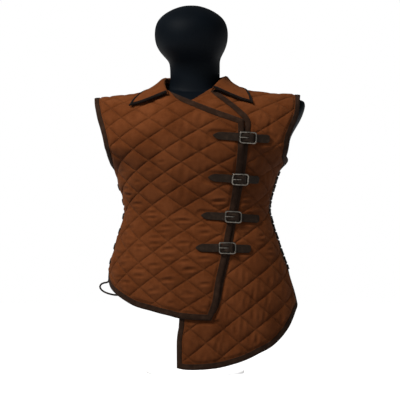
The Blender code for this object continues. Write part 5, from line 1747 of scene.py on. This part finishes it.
UNDER_CREASES = [
    (128, 413, 2, 40, 7.5, 2.2), (128, 426, 0, 36, 7, 1.7), (158, 402, 3, 38, 7, 1.9),
    (142, 384, -3, 38, 7, 1.9), (120, 366, 2, 34, 7, 1.6), (158, 366, 0, 36, 7, 1.6),
    (118, 185, 84, 34, 8.5, 1.15), (130, 173, 86, 32, 8.5, 1.15), (147, 185, 86, 34, 8.5, 1.15),
    (180, 173, 80, 34, 8.5, 1.15), (74, 70, 88, 34, 8.5, 1.15), (62, 70, 90, 34, 8.5, 1.15),
    (125, 125, 86, 34, 8.5, 1.15), (108, 112, 88, 30, 8.5, 1.15), (147, 148, 84, 34, 8.5, 1.15),
    (173, 139, 80, 34, 8.5, 1.15), (156, 84, 82, 32, 8.5, 1.15), (165, 520, 80, 60, 9, 1.2),
    (175, 470, 100, 50, 8, 1.2), (150, 590, 88, 50, 9, 1.1), (186, 590, 84, 60, 8, 1.1),
]
UNDER_ZONES = [
    PuckerZone((60, 330), (60, 265), 93.0, 2, 32, 8.5, 1.0, 21),
    PuckerZone((-20, 200), (18, 80), 92.0, 2, 26, 8.5, 0.9, 22),
    PuckerZone((110, 300), (265, 440), 2.0, 2, 34, 6.5, 1.6, 23),
    PuckerZone((90, 300), (440, 640), 84.0, 1, 30, 7.5, 0.9, 24),
]
BACK_CREASES = [
    (-60, 395, 4, 90, 9, 1.4), (70, 405, -5, 84, 9, 1.4), (0, 380, 0, 110, 10, 1.6),
    (-110, 430, 12, 60, 8, 1.2), (118, 436, -12, 60, 8, 1.2), (20, 590, 88, 70, 9, 0.9),
]
BACK_ZONES = [
    PuckerZone((-280, 280), (280, 450), 0.0, 2, 36, 6.5, 1.4, 31),
    PuckerZone((-280, 280), (210, 280), 2.0, 1, 32, 7.0, 1.0, 32),
]


# ---------------------------------------------------------------- copies of solids
SHARP = math.radians(75)  # a smoothed copy keeps edges sharper than this


def copied(node: str, name: str, bevel: float, segments: int, smooth_steps: int,
           quads: bool = True) -> bpy.types.Object:
    """A node's mesh, merged and with rounded edges, as a new piece.

    Args:
        node: The node.
        name: The new piece's name.
        bevel: The rounding's width in metres, or 0.
        segments: Its segments.
        smooth_steps: Subdivision levels; without a rounding, the smooth surface still meets the node's own points.
        quads: Whether triangles are joined to quads first.

    Returns:
        The object, with its modifiers applied.
    """
    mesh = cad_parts[node].data.copy()
    obj = linked(name, mesh)
    bm = bmesh.new()
    bm.from_mesh(mesh)
    bmesh.ops.remove_doubles(bm, verts=bm.verts, dist=1e-6)
    if quads:
        bmesh.ops.join_triangles(bm, faces=bm.faces, angle_face_threshold=0.5, angle_shape_threshold=1.2)
    bmesh.ops.recalc_face_normals(bm, faces=bm.faces)
    if not bevel:
        crease = bm.edges.layers.float.new("crease_edge")
        for edge in bm.edges:
            edge[crease] = float(edge.calc_face_angle(0.0) > SHARP)
    bm.to_mesh(mesh)
    bm.free()
    if bevel:
        m = obj.modifiers.new("round", "BEVEL")
        m.width, m.segments, m.limit_method, m.angle_limit = bevel, segments, "ANGLE", math.radians(38)
    if smooth_steps:
        m = obj.modifiers.new("smooth", "SUBSURF")
        m.levels = m.render_levels = smooth_steps
        own = mesh_points(mesh)
        for _ in range(0 if bevel else 3):
            short = own - mesh_points(obj.evaluated_get(bpy.context.evaluated_depsgraph_get()).data)[:len(own)]
            mesh.vertices.foreach_set("co", (mesh_points(mesh) + short).ravel())
            mesh.update()
    plain = baked(obj)
    obj.modifiers.clear()
    obj.data = plain
    return obj


def swept(path: np.ndarray, outs: np.ndarray, profile: Sequence[Point], closed: bool, start: int = 0) -> Corners:
    """A bar along a path, its section set by the path's own outward directions.

    Args:
        path: Points in millimetres, n by 3.
        outs: The direction that is up in the section, at each point.
        profile: The section as points across and up, in millimetres.
        closed: Whether the path is a ring.
        start: The number of the first new corner.

    Returns:
        The corners and the faces.
    """
    n, m = len(path), len(profile)
    ahead = (np.roll(path, -1, axis=0) - np.roll(path, 1, axis=0)) if closed else np.gradient(path, axis=0)
    side = unit(np.cross(outs, ahead))
    points = np.concatenate([path + side * q + outs * h for q, h in profile])
    faces = []
    for k in range(n if closed else n - 1):
        j = (k + 1) % n
        faces += [(i * n + k, i * n + j, (i + 1) % m * n + j, (i + 1) % m * n + k) for i in range(m)]
    if not closed:
        faces += [tuple(i * n for i in range(m)), tuple(i * n + n - 1 for i in reversed(range(m)))]
    return points, [tuple(start + v for v in f) for f in faces]


def oval(wide: float, high: float, count: int = 12) -> list[Point]:
    """A section's points on an oval of two half-widths."""
    turns = [2 * math.pi * k / count for k in range(count)]
    return [(wide * math.cos(t), high * math.sin(t)) for t in turns]


class Plate:
    """A buckle's own flat frame: along the strap, across it and out."""

    ends: tuple[float, float] = (15.9, 12.9)

    def __init__(self, row: Sequence[float]) -> None:
        """Sets the frame on the body.

        Args:
            row: A row of STRAP_ROWS.
        """
        left, self.middle, right = (np.array(BODY.flat(-1, row[k], row[k + 1])) for k in (0, 2, 4))
        self.along = unit(right - left)
        a, b = self.over(-19.35, 0, self.ends[0]), self.over(19.35, 0, self.ends[1])
        self.x = unit(b - a)
        z = unit(np.cross(self.x, self.over(0, 10, 12) - self.over(0, -10, 12)))
        self.z = z if z @ BODY.outward(-1, *(np.array([c]) for c in self.middle))[0] > 0 else -z
        self.y = np.cross(self.z, self.x)
        self.centre = (a + b) / 2

    def over(self, s: float, t: float, h: float) -> np.ndarray:
        """A place h out from the body, s along and t across in the flat."""
        p = self.middle + self.along * s + np.array([-self.along[1], self.along[0]]) * t
        return BODY.out(-1, p[0], p[1], h)[0]

    def at(self, s: float, t: float, w: float) -> np.ndarray:
        """A place s along, t across and w out from the buckle's plane."""
        return self.centre + self.x * s + self.y * t + self.z * w


@dataclass(frozen=True)
class Buckle:
    """A bent oblong frame with rounded corners, a middle bar and a prong that rests on the left bar."""

    half_long: float = 19.5
    half_wide: float = 12.6
    corner: float = 5.5
    bow: float = 0.9
    bar: Sequence[Point] = tuple(oval(1.95, 1.45))
    pivot: tuple[float, float] = (6.8, 0.0)
    prong: Sequence[Point] = (
        (-20.9, 2.4), (-19.2, 3.0), (-16.0, 2.9), (-6.0, 2.75), (4.8, 2.6), (8.6, 2.5), (9.7, 1.6), (9.95, 0.0),
        (9.4, -1.9))

    def ring(self) -> list[tuple[float, float]]:
        """The frame's middle line."""
        x, y, r = self.half_long, self.half_wide, self.corner
        pts = []
        for cx, cy, turn in ((x - r, y - r, 0), (r - x, y - r, 90), (r - x, r - y, 180), (x - r, r - y, 270)):
            turns = [math.radians(turn + 15 * k) for k in range(7)]
            pts += [(cx + r * math.cos(f), cy + r * math.sin(f)) for f in turns]
        return even(pts + pts[:1], 1.4)[:-1]

    def parts(self, plate: Plate) -> tuple[Corners, Corners]:
        """The frame with its bar, and the prong.

        Args:
            plate: The buckle's place.

        Returns:
            The corners and the faces of each.
        """
        ring = self.ring()
        path = np.array([plate.at(s, t, self.bow * (1 - (s / self.half_long) ** 2)) for s, t in ring])
        points, faces = swept(path, np.tile(plate.z, (len(path), 1)), self.bar, True)
        across = np.linspace(-self.half_wide, self.half_wide, 9)
        rod = np.array([plate.at(self.pivot[0], t, self.pivot[1]) for t in across])
        more, also = swept(rod, np.tile(plate.z, (len(across), 1)), oval(1.6, 1.3), False, len(points))
        line = np.array(spline([plate.at(s, 0, w) for s, w in self.prong], 1.2))
        ahead = np.gradient(line, axis=0)
        up = unit(np.cross(ahead, plate.y))
        return (np.concatenate([points, more]), faces + also), swept(line, up, oval(1.35, 0.85), False)


@dataclass
class StrapSet:
    """The four buckled straps."""

    width: float = 19.0
    thick: float = 2.0
    over: float = WALL + LIFT + 1.1 + 2.0

    def stitch_rows(self, row: Sequence[float]) -> list[np.ndarray]:
        """The stitches round a strap's sewn end."""
        left, middle = (np.array(BODY.flat(-1, row[k], row[k + 1])) for k in (0, 2))
        d = unit(middle - left)
        n = np.array([-d[1], d[0]])
        stop = float(np.linalg.norm(middle - left)) - 42
        half = self.width / 2 - 2.2
        shape = [(stop, half), (13, half), (6, half * 0.55), (3.2, 0), (6, -half * 0.55), (13, -half), (stop, -half)]
        pts = np.array([left + d * s + n * t for s, t in even(shape, 2.0)])
        return [BODY.out(-1, pts[:, 0], pts[:, 1], self.over + 0.12)]

    def build(self) -> None:
        """Makes the straps, keepers, frames, prongs and their stitches."""
        for k, row in enumerate(STRAP_ROWS, 1):
            for node, bevel in ((f"strap_{k}", 0.0006), (f"tab_{k}", 0.0004)):
                WARDROBE.put(copied(node, node + "_finished", bevel, 2, 1), Finish.LEATHER, "leather", node)
            for node, shape in zip((f"buckle_{k}", f"prong_{k}"), Buckle().parts(Plate(row))):
                piece = make_mesh(node + "_finished", *shape)
                face_outward(piece)
                WARDROBE.put(piece, Finish.METAL, "pewter", node)
            rows = self.stitch_rows(row)
            REPEATER.stitches(f"strap_{k}_stitches", rows, Finish.THREAD, "leather", STRAP_STITCH)
            log.info("strap %d", k)


@dataclass
class Lacing:
    """The laces down both sides, their eyelets and the bow's loop."""

    eyelet: Point = (2.9, 1.3)
    eyelet_over: float = 4.35

    def zigzag(self, side: int, high: float, low: float, count: int) -> tuple[list[np.ndarray], np.ndarray, np.ndarray]:
        """One side's lacing.

        Args:
            side: The wearer's side.
            high: The first crossing's height.
            low: The last one's.
            count: The number of crossings.

        Returns:
            The cord's points, the eyelets' places and the directions that they face.
        """
        hops = [(-1, 0.0, LACE_RIM), (1, SIDE_GAP / 2, LACE_SUNK), (1, SIDE_GAP - 0.6, LACE_RIM)]
        path, eyes, ways, last = [], [], [], high
        for k in range(count + 1):
            z = high + (low - high) * k / count
            face = -1 if k % 2 else 1
            inset = LACE_IN + (SIDE_GAP if face > 0 else 0)
            if path:
                over = zip(hops[::face], (0.3, 0.5, 0.7))
                path += [self.at(side, f, q, last + (z + LACE_HALF - last) * t, h) for (f, q, h), t in over]
            path += [self.at(side, face, inset, z + dz, LACE_OVER + LACE_R) for dz in (LACE_HALF, -LACE_HALF)]
            last = z - LACE_HALF
            eyes.append(self.at(side, face, inset, z, self.eyelet_over))
            u = side * (float(BODY.side_u(side, face, z)) - inset)
            ways.append(BODY.outward(face, np.array([u]), np.array([z]))[0])
        return path, np.array(eyes), np.array(ways)

    @staticmethod
    def at(side: int, face: int, inset: float, v: float, h: float) -> np.ndarray:
        """A place h out from the surface, inset from its side edge, at a height v."""
        return BODY.out(face, side * (float(BODY.side_u(side, face, v)) - inset), v, h)[0]

    def build(self) -> None:
        """Makes the laces, eyelets and loop."""
        for name, side, high, low, count in LACE_ROWS:
            path, eyes, ways = self.zigzag(side, high, low, count)
            cord = WARDROBE.put(tube(name + "_cord", spline(path, 2.2), LACE_R), Finish.LACE, "lace", name)
            REPEATER.rings(name + "_eyelets", eyes, ways, *self.eyelet, Finish.METAL, "pewter")
            log.info("%s: %d faces", name, len(cord.data.polygons))
        start = [self.at(-1, 1, SIDE_GAP + LACE_IN, z, LOOP_OVER + LOOP_R) for z in (240, 231)]
        path = spline(start + LOOP_ROWS, 4)
        loop = WARDROBE.put(tube("lace_loop_cord", path, LOOP_R, 12), Finish.LACE, "lace", "lace_loop")
        length = sum(math.dist(a, b) for a, b in zip(path, path[1:])) * MM
        tuple(c * MM for c in path[0])
        [tuple(c * MM for c in p) for p in path]


# ---------------------------------------------------------------- collar
@dataclass
class Collar:
    """The turned-down collar with two pointed leaves and its binding."""

    thick: float = 3.4
    bind: float = 7.5
    fine: int = 6
    roll: int = 3
    section: Sequence[Point] = (
        (0.0, -2.1), (0.0, 1.75), (0.05, 2.2), (0.3, 2.45), (0.75, 2.35), (0.95, 1.5), (1.0, 0.0), (0.95, -1.5),
        (0.7, -2.3), (0.2, -2.4))

    def grid(self) -> np.ndarray:
        """Places over the collar, rows along the neck by points from its base to its edge."""
        rows = [(s * a, b, c, s * d, e, f, s * g, h, i) for s, a, b, c, d, e, f, g, h, i in COLLAR_ROWS]
        table = np.array(rows, float)
        made = [bend(*around(table, i), k / self.fine) for i in range(len(rows) - 1) for k in range(self.fine)]
        made.append(table[-1])
        grid = []
        for f in made:
            base, roll, edge = Vector(f[:3]), Vector(f[3:6]), Vector(f[6:])
            away = edge - roll
            level, fall, up = Vector((away.x, away.y, 0)).normalized(), away.normalized(), Vector((0, 0, 1))
            line = [base, base.lerp(roll, 0.55), roll - level * 0.6 - up * 2.6, roll + up * 0.2 + level * 1.6,
                    roll + level * 5.0 + fall * 0.8 - up * 0.8, roll.lerp(edge, 0.42) - up * 1.8,
                    roll.lerp(edge, 0.75) - up * 2.6, edge]
            grid.append([tuple(p) for p in line])
        return np.array(grid)

    @staticmethod
    def normals(grid: np.ndarray) -> np.ndarray:
        """The grid's outward directions."""
        a, b = np.gradient(grid, axis=0), np.gradient(grid, axis=1)
        return unit(np.cross(b, a))

    def finer(self, grid: np.ndarray, step: float = 3.0) -> np.ndarray:
        """The grid with more points from the base to the edge."""
        across, cols = grid.swapaxes(0, 1), []
        for j in range(len(across) - 1):
            n = max(1, round(float(np.linalg.norm(across[j + 1] - across[j], axis=1).max()) / step))
            cols += [bend(*around(across, j), k / n) for k in range(n)]
        return np.stack([*cols, across[-1]], axis=1)

    def build(self) -> None:
        """Makes the collar and its binding."""
        grid = self.grid()
        n, m = grid.shape[:2]
        inner = grid.copy()
        by = self.bind * 0.6
        for i in range(n):
            inner[i, -1] = grid[i, -1] - unit(grid[i, -1] - grid[i, -2]) * by
        for i, o in ((0, 1), (n - 1, n - 2)):
            for j in range(m):
                ahead = inner[min(n - 1, max(0, i + (o - i) * self.fine // 2)), j] - inner[i, j]
                inner[i, j] = inner[i, j] + unit(ahead) * (by if j >= self.roll else 0.3)
        fine = self.finer(inner)
        way = self.normals(fine)
        rows, cols = fine.shape[:2]
        s, t = lengths(fine[:, -1]), lengths(fine[rows // 2])
        wave = 0.35 * np.sin(s / 17.0)[:, None] * smooth(t / 30.0)[None, :]
        wave = wave + 0.2 * np.sin(s / 7.0 + 2)[:, None] * smooth((t - 8) / 20)[None, :]
        top = fine + way * (self.thick / 2 + wave)[:, :, None]
        bottom = fine - way * (self.thick / 2 - wave)[:, :, None]
        points = np.concatenate([top.reshape(-1, 3), bottom.reshape(-1, 3)])
        at = lambda layer, i, j: layer * rows * cols + i * cols + j
        faces = []
        for i in range(rows - 1):
            for j in range(cols - 1):
                ring = [(i, j), (i + 1, j), (i + 1, j + 1), (i, j + 1)]
                faces.append([at(0, *p) for p in ring])
                faces.append([at(1, *p) for p in reversed(ring)])
        border = [(i, 0) for i in range(rows)] + [(rows - 1, j) for j in range(1, cols)] + [
            (i, cols - 1) for i in range(rows - 2, -1, -1)] + [(0, j) for j in range(cols - 2, 0, -1)]
        for p, q in zip(border, border[1:] + border[:1]):
            faces.append([at(0, *q), at(0, *p), at(1, *p), at(1, *q)])
        leaf = make_mesh("collar_cloth", points, faces)
        flat = np.array([(s[i], t[j]) for i in range(rows) for j in range(cols)])
        add_uv(leaf, np.concatenate([flat, flat]))
        add_value(leaf, "valley", np.zeros(len(points)))
        add_value(leaf, "crest", np.full(len(points), 0.2))
        face_outward(leaf)
        WARDROBE.put(leaf, Finish.CLOTH, "quilted_cloth", "collar")
        edge = self.binding(grid)

    def binding(self, grid: np.ndarray) -> list[bpy.types.Object]:
        """The binding round the leaves' front and outer edges, and its stitches."""
        n, m = grid.shape[:2]
        normals = self.normals(grid)
        drawn = lambda i: grid[i, -1] - unit(grid[i, -1] - grid[i, -2]) * self.bind
        ends = []
        for i, other in ((0, self.fine // 2), (n - 1, n - 1 - self.fine // 2)):
            rows = [(grid[i, j], grid[i, j] + unit(grid[other, j] - grid[i, j]) * self.bind, normals[i, j])
                    for j in range(self.roll, m - 1)]
            tip = drawn(i) + unit(drawn(other) - drawn(i)) * self.bind
            ends.append([*rows, (grid[i, -1], tip, normals[i, -1])])
        stations = ends[0] + [(grid[k, -1], drawn(k), normals[k, -1]) for k in range(2, n - 2)] + ends[1][::-1]
        rings, row = [], []
        for a, b in zip(stations, stations[1:]):
            k = max(1, round(float(np.linalg.norm(b[0] - a[0])) / 3.5))
            for t in range(k):
                o, i_, d = (p + (q - p) * t / k for p, q in zip(a, b))
                rings.append(np.array([i_ + (o - i_) * q + d * h for q, h in self.section]))
                row.append(i_ + (o - i_) * 0.2 + d * 2.5)
        o, i_, d = stations[-1]
        rings.append(np.array([i_ + (o - i_) * q + d * h for q, h in self.section]))
        # the collar's binding takes the darker copy of the binding colour as painted shade
        tape = WARDROBE.put(loft("bind_collar_tape", rings), Finish.COLLAR_BINDING_PAINTED_SHADE, "binding", "bind_collar")
        return [tape, REPEATER.stitches("collar_stitches", [np.array(row)], Finish.THREAD, "binding", COLLAR_STITCH)]


# ---------------------------------------------------------------- form and studio
@dataclass
class DressForm:
    """The smooth covered form with its post and base."""

    def build(self) -> list[bpy.types.Object]:
        """Makes the form, post and base, and returns the last two."""
        form = WARDROBE.put(copied("form_body", "form_cover", 0.0, 1, 2), Finish.COVER, "form_cover", "form_body")
        log.info("form: %d faces", len(form.data.polygons))
        return [WARDROBE.put(copied(node, node + "_painted", bevel, 3, 0, False), Finish.PAINT, "pale_paint", node)
                for node, bevel in (("form_post", 0.001), ("form_base", 0.0015))]


@dataclass
class Studio:
    """Camera, pale floor and soft lights."""

    azimuth: float = 5.0
    distance: float = 9.0
    scale: float = 0.0024
    middle: Point = (0.012, 0.4176)
    ambient: float = 0.16
    half_floor: float = 6000.0

    def light_stand(self, stand: Sequence[bpy.types.Object]) -> None:
        """Lights the pale stand on its own, so that it stays as pale as the floor."""
        STAND_LAMP.hang(self.azimuth, stand)

    def build(self) -> None:
        """Sets up the camera, the floor, the world and the lights."""
        a = math.radians(self.azimuth)
        right, back = Vector((math.cos(a), math.sin(a), 0)), Vector((math.sin(a), -math.cos(a), 0))
        target = right * self.middle[0] + Vector((0, 0, self.middle[1])) + back * 0.06
        data = bpy.data.cameras.new("camera")
        data.sensor_width = 36.0
        data.lens = 36.0 * self.distance / (400 * self.scale)
        camera = bpy.data.objects.new("camera", data)
        camera.location = target + back * self.distance
        camera.rotation_mode = "QUATERNION"
        camera.rotation_quaternion = (-back).to_track_quat("-Z", "Y")
        data.clip_end = 60.0
        bpy.context.scene.collection.objects.link(camera)
        bpy.context.scene.camera = camera

        corners = [(x * self.half_floor, y * self.half_floor, -1) for x, y in ((-1, -1), (1, -1), (1, 1), (-1, 1))]
        floor = make_mesh("floor", np.array(corners), [(0, 1, 2, 3)])
        WARDROBE.dress(floor, Finish.FLOOR)
        floor.visible_diffuse = False

        world = bpy.data.worlds.new("studio")
        world.use_nodes = True
        tree, white = world.node_tree, (1.0, 1.0, 1.0, 1.0)
        shown = tree.nodes["Background"]
        feed(shown, {"Color": white, "Strength": 1.0})
        dim = wired(tree, "ShaderNodeBackground", {"Color": white, "Strength": self.ambient})
        seen_by_camera = wired(tree, "ShaderNodeLightPath").node.outputs["Is Camera Ray"]
        both = wired(tree, "ShaderNodeMixShader", {0: seen_by_camera, 1: dim, 2: shown.outputs[0]})
        feed(tree.nodes["World Output"], {"Surface": both})
        bpy.context.scene.world = world
        bpy.context.scene.view_settings.view_transform = "Standard"
        for lamp in LAMPS:
            lamp.hang(self.azimuth)


class Lamp(NamedTuple):
    """A square soft light: its way from the chest by degrees left of the camera and up, how far, its size and power."""

    name: str
    left: float
    up: float
    far: float
    size: float
    power: float
    colour: Colour

    def hang(self, azimuth: float, only: Sequence[bpy.types.Object] = ()) -> None:
        """Puts the light up, looking at the chest.

        Args:
            azimuth: The camera's azimuth in degrees.
            only: The pieces that it lights, if not all.
        """
        data = bpy.data.lights.new(self.name, "AREA")
        data.size, data.energy, data.color = self.size, self.power, self.colour
        obj = bpy.data.objects.new(self.name, data)
        turn, up, chest = math.radians(azimuth - self.left), math.radians(self.up), Vector((0, 0, 0.42))
        way = Vector((math.sin(turn) * math.cos(up), -math.cos(turn) * math.cos(up), math.sin(up)))
        obj.location = chest + way * self.far
        obj.rotation_mode = "QUATERNION"
        obj.rotation_quaternion = (-way).to_track_quat("-Z", "Y")
        bpy.context.scene.collection.objects.link(obj)
        if only:
            lit = bpy.data.collections.new(self.name + "_lights")
            obj.light_linking.receiver_collection = obj.light_linking.blocker_collection = lit
            for piece in only:
                lit.objects.link(piece)


STAND_LAMP = Lamp("stand_lamp", 0.0, 35.0, 3.0, 2.0, 330.0, (1.0, 1.0, 1.0))
LAMPS = [
    Lamp("key", 46.0, 47.0, 3.2, 0.9, 94.0, (1.0, 0.985, 0.96)),
    Lamp("fill", -40.0, 15.0, 3.0, 1.6, 7.0, (0.95, 0.98, 1.0)),
]


def main() -> None:
    """Builds the object and the studio round it."""
    logging.basicConfig(level=logging.INFO, format="%(name)s: %(message)s")
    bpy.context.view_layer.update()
    studio = Studio()
    studio.build()
    Lacing().build()
    Garment().build()
    StrapSet().build()
    Collar().build()
    studio.light_stand(DressForm().build())


if __name__ == "__main__":
    main()
